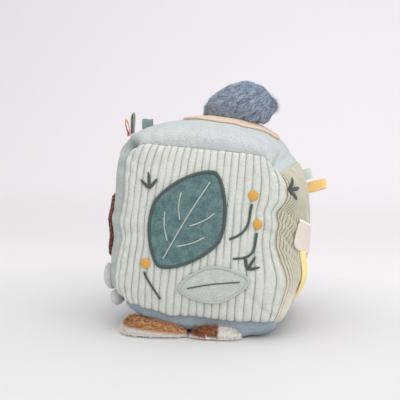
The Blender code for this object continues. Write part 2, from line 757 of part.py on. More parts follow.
def stuffed_tab(name, y, z, half_width, half_height):
    """A plump lobe that hangs against the side from a seam at its upper end."""
    middle, out = raised(
        lambda b, c: band(-1, c, b), y / HALF_DEPTH, z / HALF_HEIGHT, TAB_HALF_THICKNESS)
    forward = Vector((0, 1, 0))
    upward = out.cross(forward).normalized()
    if upward.z < 0:
        upward = -upward
    forward = out.cross(upward).normalized()
    turn = Matrix((forward, out, upward)).transposed()
    top = middle + upward * half_height - out * TAB_HALF_THICKNESS * TAB_OUT_SHARE
    pivot = empty(name + "_pivot", top, stance, turn)
    cells = bmesh.new()
    bmesh.ops.create_uvsphere(cells, u_segments=12, v_segments=8, radius=1)
    for corner in cells.verts:
        x, y_share, z_share = corner.co
        plump = 1 - 0.18 * z_share
        corner.co = Vector((
            half_width * x * plump, TAB_HALF_THICKNESS * (y_share * plump + TAB_OUT_SHARE),
            half_height * (z_share - 1)))
    data = bpy.data.meshes.new(name)
    cells.to_mesh(data)
    cells.free()
    return finish(name, data, LOBE_GREY, pivot)


stuffed_tab("tab_upper", TAB_ONE_Y, TAB_ONE_Z, TAB_ONE_HALF_WIDTH, TAB_ONE_HALF_HEIGHT)
stuffed_tab("tab_lower", TAB_TWO_Y, TAB_TWO_Z, TAB_TWO_HALF_WIDTH, TAB_TWO_HALF_HEIGHT)

# Right: a beige flap that lifts, a yellow strip and a small sprig
flap_top = FLAP_Z + FLAP_HALF_HEIGHT
flap_near = on_right(FLAP_Y - FLAP_HALF_WIDTH, flap_top, FLAP_LIFT + FLAP_THICKNESS)
flap_far = on_right(FLAP_Y + FLAP_HALF_WIDTH, flap_top, FLAP_LIFT + FLAP_THICKNESS)
flap_hinge = on_right(FLAP_Y, flap_top, FLAP_LIFT + FLAP_THICKNESS)
flap_turn = Vector((1, 0, 0)).rotation_difference(flap_near - flap_far).to_matrix()
flap_pivot = empty("flap_pivot", flap_hinge, stance, flap_turn)
flap = patch(
    "beige_flap", on_right, (FLAP_Y, FLAP_Z),
    lambda angle: leaf_radius(angle, FLAP_HALF_WIDTH, FLAP_HALF_HEIGHT, FLAP_CORNER_SHARPNESS),
    6, BEIGE_VELOUR, FLAP_THICKNESS, FLAP_LIFT, flap_pivot)
flap.data.transform((Matrix.Translation(flap_hinge) @ flap_turn.to_4x4()).inverted())
patch(
    "yellow_strip", on_right, (STRIP_Y, STRIP_Z),
    lambda angle: leaf_radius(angle - math.radians(STRIP_DEGREES), STRIP_HALF_LENGTH, STRIP_HALF_WIDTH, 4),
    6, YELLOW_RIBBON, PATCH, PATCH_LIFT)
patch(
    "side_sprig", on_right, (SIDE_SPRIG_Y, SIDE_SPRIG_Z), lambda angle: sprig_radius(angle, 60), 8,
    DARK_THREAD, PATCH, PATCH_LIFT)


def underside(x, y):
    """Height of the block's bottom over a place on the floor."""
    high = 0
    for _ in range(4):
        here = from_world((x, y, high))
        across = max(-1, min(1, here.x / (HALF_WIDTH * (1 + TAPER_SHARE))))
        back = max(-1, min(1, y / HALF_DEPTH))
        high = to_world(band(across, -1, back)).z
    return high


def pad(name, left, right, under, height, thin_share, narrow_share):
    """A plush flap that lies half under the block: a fur cover above and a cream sole below.

    It is thinner and narrower towards its right end.
    """
    middle_x = (left + right) / 2
    half_x = (right - left) / 2
    half_y = (under + PAD_OUT) / 2
    front_edge = -HALF_DEPTH - PAD_OUT
    flat_share = 0.7

    def plan(u, v):
        share, angle = disc(u, v)
        radius = share * leaf_radius(angle, half_x, half_y, PAD_CORNER_SHARPNESS)
        x = middle_x + radius * math.cos(angle)
        narrowed = 1 - (1 - narrow_share) * (x - left) / (right - left)
        return share, x, front_edge + (half_y + radius * math.sin(angle)) * narrowed

    def crest(x, y, share):
        slant = 1 - (1 - thin_share) * (x - left) / (right - left)
        free = PAD_EDGE + (height * slant - PAD_EDGE) * (1 - share ** 4)
        roof = underside(x, y) - PAD_CLEARANCE if y > -HALF_DEPTH else height
        return max(min(free, roof), PAD_EDGE)

    def foot(share):
        return PAD_ROUND * max(share - flat_share, 0) / (1 - flat_share)

    def level(u, v, low, high):
        share, x, y = plan(u, v)
        bottom = foot(share)
        return Vector((x, y, bottom + (crest(x, y, share) - bottom) * low + high))

    seam_share = 0.5
    pivot = empty(name + "_pivot", (middle_x, under - HALF_DEPTH, PAD_EDGE / 2), floor_stance)
    shift = Matrix.Translation(-Vector(pivot.location))
    sole = sheet(
        name + "_sole", lambda u, v: level(u, v, seam_share, -CLEARANCE), lambda u, v: level(u, v, 0, 0),
        8, 6, CREAM_PLUSH, pivot)
    cover = sheet(
        name + "_cover", lambda u, v: level(u, v, 1, 0), lambda u, v: level(u, v, seam_share, CLEARANCE),
        8, 6, BROWN_PLUSH, pivot)
    sole.data.transform(shift)
    cover.data.transform(shift)


pad("left_pad", PAD_ONE_LEFT, PAD_ONE_RIGHT, PAD_ONE_UNDER, PAD_ONE_HEIGHT, 0.45, 0.4)
pad("front_pad", PAD_TWO_LEFT, PAD_TWO_RIGHT, PAD_TWO_UNDER, PAD_TWO_HEIGHT, 0.8, 1)
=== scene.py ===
import json
import math
import bmesh
import bpy
import numpy as np
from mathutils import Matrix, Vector


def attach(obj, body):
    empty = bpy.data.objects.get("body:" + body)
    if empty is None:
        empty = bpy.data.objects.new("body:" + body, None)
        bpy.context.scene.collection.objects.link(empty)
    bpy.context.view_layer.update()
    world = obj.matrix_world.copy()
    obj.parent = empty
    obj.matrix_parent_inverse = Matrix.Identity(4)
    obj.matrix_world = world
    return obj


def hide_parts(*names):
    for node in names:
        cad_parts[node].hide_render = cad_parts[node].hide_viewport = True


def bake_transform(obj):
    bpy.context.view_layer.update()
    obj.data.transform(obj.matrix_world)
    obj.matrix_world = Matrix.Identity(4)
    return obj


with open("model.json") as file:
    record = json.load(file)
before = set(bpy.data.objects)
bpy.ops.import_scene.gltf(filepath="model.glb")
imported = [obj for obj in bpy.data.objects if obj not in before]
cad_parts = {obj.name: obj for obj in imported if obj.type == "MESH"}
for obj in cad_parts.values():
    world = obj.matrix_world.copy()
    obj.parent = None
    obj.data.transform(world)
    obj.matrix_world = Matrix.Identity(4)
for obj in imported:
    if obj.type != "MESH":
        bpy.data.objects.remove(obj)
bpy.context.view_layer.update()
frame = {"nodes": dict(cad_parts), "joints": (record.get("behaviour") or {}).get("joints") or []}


# Camera: a little right of the block's front and just above its middle, as the photograph was taken.
# The lens and distance keep the block's perspective, and the shift sets it a little low and right.
def add_object(name, data):
    made = bpy.data.objects.new(name, data)
    bpy.context.collection.objects.link(made)
    return made


camera = add_object("camera", bpy.data.cameras.new("camera"))
camera.data.sensor_width = 36
camera.data.lens = 65.6
camera.data.shift_x = -0.0333
camera.data.shift_y = 0.0515
camera_turn, camera_rise, camera_distance = math.radians(7.9), math.radians(7.4), 0.650
aim = Vector((-0.0044, 0.0024, 0.088))
towards_camera = Vector((
    math.sin(camera_turn) * math.cos(camera_rise), -math.cos(camera_turn) * math.cos(camera_rise),
    math.sin(camera_rise)))
camera.location = aim + towards_camera * camera_distance
camera.rotation_euler = towards_camera.to_track_quat("Z", "Y").to_euler()
bpy.context.scene.camera = camera

# Studio: a pale floor that sweeps up into a pale wall, soft light from a large lamp above and in front,
# a weaker one on the right, and an even pale room.
FLOOR_FRONT, FLOOR_BACK, FLOOR_SIDE, WALL_BEND, WALL_TOP = -1.6, 0.75, 3, 0.5, 2.4
bpy.context.scene.view_settings.view_transform = "Standard"
sweep = bmesh.new()
sweep_line = [(FLOOR_FRONT, 0.0), (FLOOR_BACK, 0.0)]
for degrees in range(10, 91, 10):
    bend = math.radians(degrees)
    sweep_line.append((FLOOR_BACK + WALL_BEND * math.sin(bend), WALL_BEND - WALL_BEND * math.cos(bend)))
sweep_line.append((FLOOR_BACK + WALL_BEND, WALL_TOP))
sweep_rows = [[sweep.verts.new((x, y, z)) for x in (-FLOOR_SIDE, FLOOR_SIDE)] for y, z in sweep_line]
for low, high in zip(sweep_rows, sweep_rows[1:]):
    sweep.faces.new((low[0], low[1], high[1], high[0])).smooth = True
studio_floor = add_object("studio_floor", bpy.data.meshes.new("studio_floor"))
sweep.to_mesh(studio_floor.data)
sweep.free()
paper = bpy.data.materials.new("studio_paper")
paper.use_nodes = True
paper_nodes, paper_links = paper.node_tree.nodes, paper.node_tree.links
paper_reach = paper_nodes.new("ShaderNodeVectorMath")
paper_reach.operation = "DOT_PRODUCT"
paper_reach.inputs[1].default_value = (0, 0.5, 0.5)
paper_links.new(paper_nodes.new("ShaderNodeTexCoord").outputs["Object"], paper_reach.inputs[0])
paper_ramp = paper_nodes.new("ShaderNodeValToRGB")
paper_ramp.color_ramp.elements[0].color = (0.690, 0.680, 0.680, 1)
paper_ramp.color_ramp.elements[1].color = (0.830, 0.805, 0.835, 1)
paper_ramp.color_ramp.elements[1].position = 0.85
for position, colour in (
        (0.10, (0.795, 0.775, 0.795, 1)), (0.25, (0.79, 0.77, 0.785, 1)), (0.5, (0.855, 0.83, 0.855, 1))):
    paper_ramp.color_ramp.elements.new(position).color = colour
paper_links.new(paper_reach.outputs["Value"], paper_ramp.inputs[0])
paper_links.new(paper_ramp.outputs[0], paper_nodes["Principled BSDF"].inputs["Base Color"])
paper_nodes["Principled BSDF"].inputs["Roughness"].default_value = 0.8
studio_floor.data.materials.append(paper)

room = bpy.data.worlds.new("room")
bpy.context.scene.world = room
room.use_nodes = True
room.node_tree.nodes["Background"].inputs["Color"].default_value = (0.80, 0.79, 0.80, 1)
room.node_tree.nodes["Background"].inputs["Strength"].default_value = 0.8
LAMPS_AIM = Vector((0, 0, 0.08))
for name, place, size, power in (
        ("key_lamp", (0.12, -0.38, 1.35), 1.9, 15), ("fill_lamp", (0.7, -1.1, 0.45), 1.4, 8)):
    lamp = add_object(name, bpy.data.lights.new(name, "AREA"))
    lamp.data.size = size
    lamp.data.energy = power
    lamp.location = place
    lamp.rotation_euler = (Vector(place) - LAMPS_AIM).to_track_quat("Z", "Y").to_euler()

# Stuffed cover: six cloth panels sewn edge to edge and filled tight, so each swells past its seams.
# The form leans on its right edge and is pressed flat where it stands. The front's seam wanders in and
# out, as the stitches took up more cloth or less. Across and up run from -1 to 1 over the front, and
# back runs from it to the rear.
HALF_WIDTH, HALF_DEPTH, HALF_HEIGHT = 0.066, 0.068, 0.069
TOP_SWELL, BOTTOM_SWELL, RIGHT_SWELL, LEFT_SWELL = 0.024, 0.024, 0.020, 0.0165
FACE_SWELL, CORNER_SWELL, TOP_LEFT_SWELL = 0.009, 0.0045, 0.010
LEAN, CENTRE = math.radians(5.4), np.array((-0.0044, 0.0024, 0.086))
LEFT_SLOPE, CORNER_CUT, FLOOR_GAP = 0.0045, 0.0034, 0.0004
# Each place along the seam: where it is, how far it reaches, and how far it pulls the seam out.
RIGHT_PULLS = (
    (0.03, 0.29, -0.0080), (1.0, 0.20, -0.0088), (0.34, 0.10, -0.0055), (-0.45, 0.20, 0.0033))
LEFT_PULLS = (
    (-0.12, 0.18, -0.0030), (-1.0, 0.15, -0.0065), (0.02, 0.16, 0.0032), (0.85, 0.30, 0.0020))
TOP_PULLS = ((1.0, 0.22, -0.0055), (-0.85, 0.18, 0.0018))
BOTTOM_PULLS = ((-0.85, 0.30, -0.0032), (-0.27, 0.13, 0.0022), (0.70, 0.15, -0.0014))


def pulled(value, pulls):
    return sum(amount * np.exp(-((value - middle) / width) ** 2) for middle, width, amount in pulls)


def square_place(across, up):
    pull = (1 + np.abs(across * up) ** 8) ** (-1 / 8)
    return HALF_WIDTH * across * pull * (1 - 0.05 * up), HALF_HEIGHT * up * pull


def leant(x, y, z):
    """Places or directions turned by the block's lean."""
    return np.stack([
        x * math.cos(LEAN) + z * math.sin(LEAN), y + 0 * x, z * math.cos(LEAN) - x * math.sin(LEAN)], -1)


def stand(x, across, up, back, y, z):
    """Pulls the front's seam in and out, sets the block in its stance, and keeps it above the floor."""
    near = ((1 - back) / 2) ** 3
    right, left = np.maximum(across, 0) ** 4, np.maximum(-across, 0) ** 4
    x = x + near * (right * pulled(up, RIGHT_PULLS) - left * pulled(up, LEFT_PULLS))
    x = x - LEFT_SLOPE * np.maximum(up, 0) ** 2 * left
    cut = CORNER_CUT * near * (np.maximum(-across, 0) * np.maximum(up, 0)) ** 5
    x, z = x + cut, z - cut
    z = z + near * (np.maximum(up, 0) ** 4 * pulled(across, TOP_PULLS)
                    - np.maximum(-up, 0) ** 4 * pulled(across, BOTTOM_PULLS))
    stood = leant(x, y, z) + CENTRE
    stood[..., 2] = np.maximum(stood[..., 2], FLOOR_GAP)
    return stood


def face_form(across, up, back):
    x, z = square_place(across, up)
    crown = np.maximum((1 - across ** 2) * (1 - up ** 2), 0) ** 0.4
    return stand(x, across, up, back, back * (HALF_DEPTH + FACE_SWELL * crown), z)


def side_place(turn):
    """Which side a turn lies on, how far along that side, and the place across and up."""
    side = np.round(turn / 2).astype(int) % 4
    along = np.sin(math.pi / 2 * (turn - 2 * np.round(turn / 2)))
    whole = 1 + 0 * along
    across = np.choose(side, (along, whole, -along, -whole))
    return side, along, across, np.choose(side, (whole, -along, -whole, along))


def leaning(across, up):
    """Which way the cover faces beside its rim, before the block's lean."""
    lean_x = np.copysign(np.abs(across) ** 7, across)
    lean_z = np.copysign(np.abs(up) ** 7, up)
    length = np.maximum(np.hypot(lean_x, lean_z), 1e-12)
    return lean_x / length, lean_z / length


def band_form(turn, back):
    """The four sides: turn 0 is the top's middle, 2 the right's, 4 the bottom's, 6 the left's."""
    _, _, across, up = side_place(turn)
    x, z = square_place(across, up)
    lean_x, lean_z = leaning(across, up)
    rise = np.where(up > 0, TOP_SWELL, BOTTOM_SWELL) - CORNER_SWELL
    spread = np.where(across > 0, RIGHT_SWELL, LEFT_SWELL) - CORNER_SWELL
    swell = CORNER_SWELL + rise * np.abs(lean_z) * np.maximum(1 - across ** 2, 0)
    rise_left = np.where(across < 0, 1 + 0.25 * up, 1)
    swell = swell + spread * np.abs(lean_x) * np.maximum(1 - up ** 2, 0) * rise_left
    swell = swell + TOP_LEFT_SWELL * (np.maximum(-across, 0) ** 2 * np.maximum(up, 0)) ** 2
    loaded = np.clip(across * 2 - 0.2, 0, 1) * np.maximum(-up, 0) ** 8
    swell = swell * np.maximum(1 - back ** 2, 0) ** (0.4 - 0.2 * loaded) + 0.004 * loaded * (1 - back ** 8)
    return stand(x + lean_x * swell, across, up, back, HALF_DEPTH * back, z + lean_z * swell)


# The cloth wrinkles by itself: a skin of the whole form, cut a little too large, is blown up for a
# moment while its seams hold. Only the wrinkles are kept, and laid on the form.
CELLS, CUT_LARGER, MOMENTS, WRINKLE_GAIN, WRINKLE_MOST = 36, 1.06, 20, 2.4, 0.0026


def crowded(count, share=1.0):
    """Steps from -1 to 1 that crowd together towards both ends, the more the larger the share."""
    even = np.linspace(-1, 1, count)
    return (1 - share) * even + share * np.sin(math.pi / 2 * even)


spaced = crowded(CELLS + 1, 0.5)
around = np.concatenate([2 * side + 2 / math.pi * np.arcsin(spaced[:-1]) for side in range(4)])
front_net = face_form(spaced[:, None], spaced[None, :], -1.0)
back_net = face_form(spaced[:, None], spaced[None, :], 1.0)
side_net = band_form(around[:, None] + 0 * spaced[None, :], spaced[None, :] + 0 * around[:, None])


def quads(index, closed=False):
    following = np.roll(index, -1, 0) if closed else index[1:]
    first = index if closed else index[:-1]
    return np.stack([first[:, :-1], following[:, :-1], following[:, 1:], first[:, 1:]], -1).reshape(-1, 4)


def blown_up(front, rear, sides):
    """Blows the closed skin up with its seams held, and gives how far the points of each net moved."""
    rows = CELLS + 1
    steps, zero = np.arange(CELLS), np.zeros(CELLS, int)
    rim_across = np.concatenate([steps, zero + CELLS, CELLS - steps, zero])
    rim_up = np.concatenate([zero + CELLS, CELLS - steps, zero, steps])
    front_index = np.arange(rows * rows).reshape(rows, rows)
    back_index = front_index + rows * rows
    side_index = np.empty((4 * CELLS, rows), int)
    side_index[:, 0] = front_index[rim_across, rim_up]
    side_index[:, -1] = back_index[rim_across, rim_up]
    side_index[:, 1:-1] = 2 * rows * rows + np.arange(4 * CELLS * (CELLS - 1)).reshape(4 * CELLS, CELLS - 1)
    points = np.concatenate([front.reshape(-1, 3), rear.reshape(-1, 3), sides[:, 1:-1].reshape(-1, 3)])
    faces = np.concatenate([quads(front_index), quads(back_index)[:, ::-1], quads(side_index, True)])
    data = bpy.data.meshes.new("skin")
    data.from_pydata(points.tolist(), [], faces.tolist())
    skin = add_object("skin", data)
    seams = np.unique(np.concatenate(
        [side_index[:, 0], side_index[:, -1], side_index[::CELLS].ravel()]))
    skin.vertex_groups.new(name="held").add(seams.tolist(), 1, "REPLACE")
    skin.shape_key_add(name="sewn")
    cut = skin.shape_key_add(name="cut")
    cut.data.foreach_set("co", (points.mean(0) + (points - points.mean(0)) * CUT_LARGER).ravel())
    cloth = skin.modifiers.new("cloth", "CLOTH")
    cloth.settings.rest_shape_key = cut
    cloth.settings.mass = 0.002
    cloth.settings.tension_stiffness = cloth.settings.compression_stiffness = 3
    cloth.settings.shear_stiffness = 4
    cloth.settings.bending_stiffness = 0.03
    cloth.settings.use_pressure = True
    cloth.settings.uniform_pressure_force = 1
    cloth.settings.vertex_group_mass = "held"
    cloth.settings.effector_weights.gravity = 0
    cloth.collision_settings.use_collision = False
    cloth.point_cache.frame_start = 1
    cloth.point_cache.frame_end = MOMENTS
    for moment in range(1, MOMENTS + 1):
        bpy.context.scene.frame_set(moment)
    swollen = skin.evaluated_get(bpy.context.evaluated_depsgraph_get()).to_mesh()
    moved = np.empty(len(points) * 3)
    swollen.vertices.foreach_get("co", moved)
    moved = moved.reshape(-1, 3) - points
    bpy.context.scene.frame_set(1)
    bpy.data.objects.remove(skin)
    return moved[front_index], moved[back_index], moved[side_index]


def smoothed(field, closed, times):
    for _ in range(times):
        wide = np.pad(field, ((1, 1), (0, 0), (0, 0)), "wrap" if closed else "edge")
        field = (wide[:-2] + 2 * field + wide[2:]) / 4
        wide = np.pad(field, ((0, 0), (1, 1), (0, 0)), "edge")
        field = (wide[:, :-2] + 2 * field + wide[:, 2:]) / 4
    return field


wrinkles = [0 * front_net, 0 * back_net, 0 * side_net]
for number, moved in enumerate(blown_up(front_net, back_net, side_net)):
    wrinkle = smoothed(moved, number == 2, 1) - smoothed(moved, number == 2, 14)
    wrinkles[number] = np.clip(wrinkle * WRINKLE_GAIN, -WRINKLE_MOST, WRINKLE_MOST)


def read_field(field, down, along, closed=False):
    """The field at places between its points, with a smooth curve through them."""
    first, second = np.floor(down).astype(int), np.floor(along).astype(int)
    total = 0
    for step_a in range(4):
        for step_b in range(4):
            weight = 1
            for step, part in ((step_a, down - first), (step_b, along - second)):
                weight = weight * ((1 - part) ** 3, 3 * part ** 3 - 6 * part ** 2 + 4,
                                   1 + 3 * part + 3 * part ** 2 - 3 * part ** 3, part ** 3)[step] / 6
            row = first + step_a - 1
            row = row % len(field) if closed else np.clip(row, 0, CELLS)
            total = total + field[row, np.clip(second + step_b - 1, 0, CELLS)] * weight[..., None]
    return total


def place_in_net(value):
    return (np.interp(value, crowded(401, 0.5), np.linspace(-1, 1, 401)) + 1) / 2 * CELLS


def freed(distance, reach=0.003):
    """0 at a seam, where the stitches hold the cloth, and near 1 beyond the reach."""
    return 1 - np.exp(-np.maximum(distance, 0) / reach)


def groove(beside, depth, reach, ripple, start):
    """How deep the cloth lies beside a seam: a groove, and beyond its start ripples that die away."""
    return depth * np.exp(-beside / reach) + ripple * np.exp(-beside / 0.006) * (1 - np.exp(-beside / start))


def drawn_in(across, up, distance, rearward):
    """Where two panels meet, the stitches pull both down into a groove, and the cloth beside it ripples."""
    lean_x, lean_z = leaning(across, up)
    turn = np.arctan2(across, up)
    ripple = 0.4 * np.sin(41 * turn + 1) + 0.35 * np.sin(57 * turn + 4) + 0.3 * np.sin(29 * turn + 2)
    depth = groove(distance, 0.0018, 0.0022, -0.0009 * ripple, 0.0015)
    return -leant(lean_x, rearward, lean_z) * depth[..., None] * 0.75


def crease(first, second, start, end, depth, width):
    """A valley from start to end that fades out along its way."""
    run = np.array(end) - np.array(start)
    along = ((first - start[0]) * run[0] + (second - start[1]) * run[1]) / (run @ run)
    aside = ((first - start[0]) * run[1] - (second - start[1]) * run[0]) / math.hypot(*run)
    fade = np.clip(1 - along, 0, 1) * np.clip(1 + along * 6, 0, 1)
    return depth * np.exp(-(aside / width) ** 2) * fade


# Each crease: where it starts and ends, how deep it is, and how wide.
FRONT_CREASES = (
    ((0.069, 0.004), (0.040, 0.014), 0.0030, 0.0034), ((0.069, -0.004), (0.046, -0.020), 0.0022, 0.0028),
    ((-0.067, -0.009), (-0.044, -0.002), 0.0024, 0.0032), ((-0.067, -0.014), (-0.050, -0.030), 0.0016, 0.003),
    ((-0.066, 0.060), (-0.042, 0.036), 0.0018, 0.0034), ((0.062, 0.064), (0.040, 0.038), 0.0022, 0.0034),
    ((0.062, -0.062), (0.038, -0.042), 0.0020, 0.0032), ((-0.063, -0.062), (-0.040, -0.040), 0.0020, 0.0034),
    ((0.020, 0.069), (0.012, 0.048), 0.0014, 0.0030), ((-0.030, 0.069), (-0.026, 0.050), 0.0012, 0.0028),
    ((0.004, -0.069), (0.010, -0.052), 0.0014, 0.0028), ((-0.034, -0.069), (-0.030, -0.050), 0.0012, 0.0028))
RIGHT_CREASES = (
    ((-0.070, 0.034), (-0.046, 0.010), 0.0055, 0.0024), ((-0.070, 0.022), (-0.046, -0.004), 0.0055, 0.0022),
    ((-0.068, 0.010), (-0.048, -0.016), 0.0045, 0.0022), ((-0.068, -0.004), (-0.044, -0.026), 0.0030, 0.0024),
    ((-0.066, -0.046), (-0.040, -0.030), 0.0022, 0.003), ((0.068, 0.050), (0.030, 0.020), 0.0016, 0.004),
    ((0.068, -0.050), (0.034, -0.026), 0.0014, 0.004))
TOP_CREASES = (
    ((-0.068, 0.068), (-0.020, 0.060), 0.0034, 0.0026), ((-0.058, 0.046), (-0.050, 0.070), 0.0026, 0.0024),
    ((-0.068, -0.054), (-0.030, -0.050), 0.0034, 0.0026), ((0.066, -0.060), (0.040, -0.040), 0.0014, 0.004))
LEFT_CREASES = (
    ((-0.068, 0.058), (-0.030, 0.044), 0.0018, 0.0060), ((-0.060, 0.070), (-0.046, 0.046), 0.0016, 0.0030),
    ((-0.068, 0.004), (-0.050, 0.016), 0.0020, 0.0030), ((0.068, 0.050), (0.034, 0.030), 0.0014, 0.004))


def face_skin(across, up, rearward, wrinkled):
    """A place on the front or back, and how free of the seams the cloth is there."""
    distance = (1 - np.maximum(np.abs(across), np.abs(up))) * HALF_WIDTH
    free = freed(distance)
    points = face_form(across, up, rearward) + drawn_in(across, up, distance, rearward)
    field = wrinkles[0] if rearward < 0 else wrinkles[1]
    points += read_field(field, place_in_net(across), place_in_net(up)) * free[..., None] * wrinkled
    return points, free


def front_skin(across, up):
    """A place on the front, in the room, for shares of its half width and half height."""
    points, free = face_skin(across, up, -1.0, 0.7)
    for line in FRONT_CREASES:
        points[..., 1] += crease(across * HALF_WIDTH, up * HALF_HEIGHT, *line) * free
    return points


arc_turns = np.linspace(-2, 10, 2401)
arc_steps = np.linalg.norm(np.diff(band_form(arc_turns, 0 * arc_turns), axis=0), axis=1)
arc_places = np.concatenate([[0], np.cumsum(arc_steps)])
TOP_LEFT, TOP_RIGHT, BOTTOM_RIGHT, BOTTOM_LEFT = -1.0, 8 / 6, 3.0, 5.0


def arc_of(turn):
    """How far round the sides a turn lies, along the cloth."""
    return np.interp(turn, arc_turns, arc_places)


def turns_between(first, last, count):
    """Turns from the first to the last in even steps along the cloth."""
    return np.interp(np.linspace(*arc_of((first, last)), count), arc_places, arc_turns)


def mound(height, *spans):
    """A smooth mound. Each span is a distance, where along it the top lies, and the width."""
    return height * np.exp(-sum(((value - middle) / width) ** 2 for value, middle, width in spans))


def pucker(arc, behind):
    """Where three panels meet at the top left, the cloth is gathered: a deep tuck with a lump behind it."""
    first, last = arc_of((TOP_LEFT, TOP_LEFT + 8))
    along = np.where(arc > 0.5 * (first + last), arc - last, arc - first)
    tuck = mound(0.0070, (behind, 0.0030, 0.0026), (along, 0.001, 0.0100))
    lump = mound(0.0032, (behind, 0.0125, 0.0042), (along, 0.004, 0.0070))
    return lump - tuck - mound(0.0016, (behind - 0.9 * along, 0.0170, 0.0020), (along, -0.006, 0.0060))


def tuck_shade_amount(turn, back):
    """How much painted shade the tuck gets on the velour, from 0 to 1."""
    first, last, arc = arc_of((TOP_LEFT, TOP_LEFT + 8, turn.mean()))
    along = arc_of(turn) - (first if arc < (first + last) / 2 else last)
    return mound(1, ((back + 1) * HALF_DEPTH, 0.0010, 0.0085), (along, 0.0015, 0.0075))


def side_skin(turn, back):
    """A place on the four sides: turn goes round as in band_form, and back runs from -1 to 1."""
    side, along, across, up = side_place(turn)
    distance = (1 - np.abs(back)) * HALF_DEPTH
    points = band_form(turn, back) + drawn_in(across, up, distance, np.sign(back))
    free = freed(distance)
    arc = arc_of(turn)
    out = band_form(turn, 0 * back) - CENTRE
    out[..., 1] = 0
    out /= np.linalg.norm(out, axis=-1, keepdims=True)
    for seam in (TOP_LEFT, TOP_RIGHT, BOTTOM_RIGHT, BOTTOM_LEFT, TOP_LEFT + 8):
        beside = np.abs(arc - arc_of(seam))
        ripple = np.sin(back * 53 + 1) + 0.8 * np.sin(back * 37 + seam) + 0.6 * np.sin(back * 79)
        points -= out * (groove(beside, 0.0016, 0.002, 0.0004 * ripple, 0.0012) * free)[..., None]
        free = free * freed(beside)
    points += out * (pucker(arc, (back + 1) * HALF_DEPTH) * freed(distance, 0.001))[..., None]
    for here, level, lines in ((0, across, TOP_CREASES), (1, up, RIGHT_CREASES), (3, up, LEFT_CREASES)):
        for line in lines:
            hollow = crease(back * HALF_DEPTH, level * HALF_HEIGHT, *line) * (side == here)
            points -= out * (hollow * free)[..., None]
    row = side * CELLS + place_in_net(along)
    points += read_field(wrinkles[2], row, place_in_net(back), True) * free[..., None]
    points[..., 2] = np.maximum(points[..., 2], FLOOR_GAP)
    return points


def turn_at(share):
    """The turn from a side's middle to a share of its half width."""
    return 2 / math.pi * np.arcsin(np.clip(share, -1, 1))


def top_skin(x, y):
    return side_skin(turn_at(x / HALF_WIDTH), y / HALF_DEPTH)


def right_skin(y, z):
    return side_skin(2 + turn_at(-z / HALF_HEIGHT), y / HALF_DEPTH)


def left_skin(y, z):
    return side_skin(6 + turn_at(z / HALF_HEIGHT), y / HALF_DEPTH)


def front_place(x, z):
    return front_skin(x / HALF_WIDTH, z / HALF_HEIGHT)


def mesh_piece(name, points, faces, material, marks=None):
    """A piece with its own mesh; marks are values at its points that its material reads."""
    data = bpy.data.meshes.new(name)
    data.from_pydata(np.asarray(points).reshape(-1, 3).tolist(), [], np.asarray(faces).tolist())
    for mark, values in (marks or {}).items():
        values = np.asarray(values, float)
        kind = "FLOAT_VECTOR" if values.ndim > 1 else "FLOAT"
        layer = data.attributes.new(mark, kind, "POINT")
        layer.data.foreach_set("vector" if values.ndim > 1 else "value", values.ravel())
    data.materials.append(material)
    data.shade_smooth()
    data.set_sharp_from_angle(angle=math.radians(60))
    return add_object(name, data)


def outward_of(net):
    out = np.cross(np.gradient(net, axis=0), np.gradient(net, axis=1))
    out /= np.linalg.norm(out, axis=-1, keepdims=True) + 1e-15
    return out if (out * (net - CENTRE)).sum() > 0 else -out


def sheet_faces(rows, columns):
    """The faces of a closed sheet: an outer net, an inner one, and the rim between them."""
    index = np.arange(rows * columns).reshape(rows, columns)
    under = index + rows * columns
    rim = np.concatenate([index[:-1, 0], index[-1, :-1], index[:0:-1, -1], index[0, :0:-1]])
    beyond = np.roll(rim, -1)
    return np.concatenate([
        quads(index), quads(under)[:, ::-1],
        np.stack([beyond, rim, rim + rows * columns, beyond + rows * columns], -1)])


def sewn_sheet(name, net, thickness, material, marks=None):
    """A closed sheet of cloth, with its outer face on the net and its inner one a thickness below."""
    rows, columns = net.shape[:2]
    out = outward_of(net)
    faces = sheet_faces(rows, columns)
    straight = np.cross(net[1, 0] - net[0, 0], net[0, 1] - net[0, 0]) @ out[0, 0]
    if straight < 0:
        faces = faces[:, ::-1]
    points = np.concatenate([net.reshape(-1, 3), (net - out * thickness).reshape(-1, 3)])
    both = {mark: np.concatenate([values.reshape(rows * columns, -1)] * 2).squeeze()
            for mark, values in (marks or {}).items()}
    return mesh_piece(name, points, faces, material, both)


# Pile cloth: every panel is velour or corduroy, whose short pile turns pale or dark as it is stroked.
# The colours are written as they are seen, and turned into light here.
def dyed(red, green, blue):
    return tuple((part / 255 / 12.92) if part < 11 else ((part / 255 + 0.055) / 1.055) ** 2.4
                 for part in (red, green, blue)) + (1,)


def put(tree, kind, inputs=None, **settings):
    """Adds a node. Settings are its own choices, and inputs are links or values for its sockets."""
    made = tree.nodes.new(kind)
    for key, value in settings.items():
        setattr(made, key, value)
    for key, value in (inputs or {}).items():
        if isinstance(value, bpy.types.NodeSocket):
            tree.links.new(value, made.inputs[key])
        else:
            made.inputs[key].default_value = value
    return made


def with_sockets(tree, incoming, outgoing):
    for name, kind, value in incoming:
        socket = tree.interface.new_socket(name, in_out="INPUT", socket_type=kind)
        if value is not None:
            socket.default_value = value
    for name, kind in outgoing:
        tree.interface.new_socket(name, in_out="OUTPUT", socket_type=kind)
    return tree.nodes.new("NodeGroupInput").outputs, tree.nodes.new("NodeGroupOutput")


def maths(tree, operation, first, second=0.0):
    return put(tree, "ShaderNodeMath", {0: first, 1: second}, operation=operation).outputs[0]


def mixed(tree, share, first, second):
    return put(tree, "ShaderNodeMix", {0: share, 6: first, 7: second}, data_type="RGBA").outputs[2]


def ranged(tree, value, low, high, least=0.0):
    return put(tree, "ShaderNodeMapRange", {
        "Value": value, "From Min": low, "From Max": high, "To Min": least}).outputs[0]


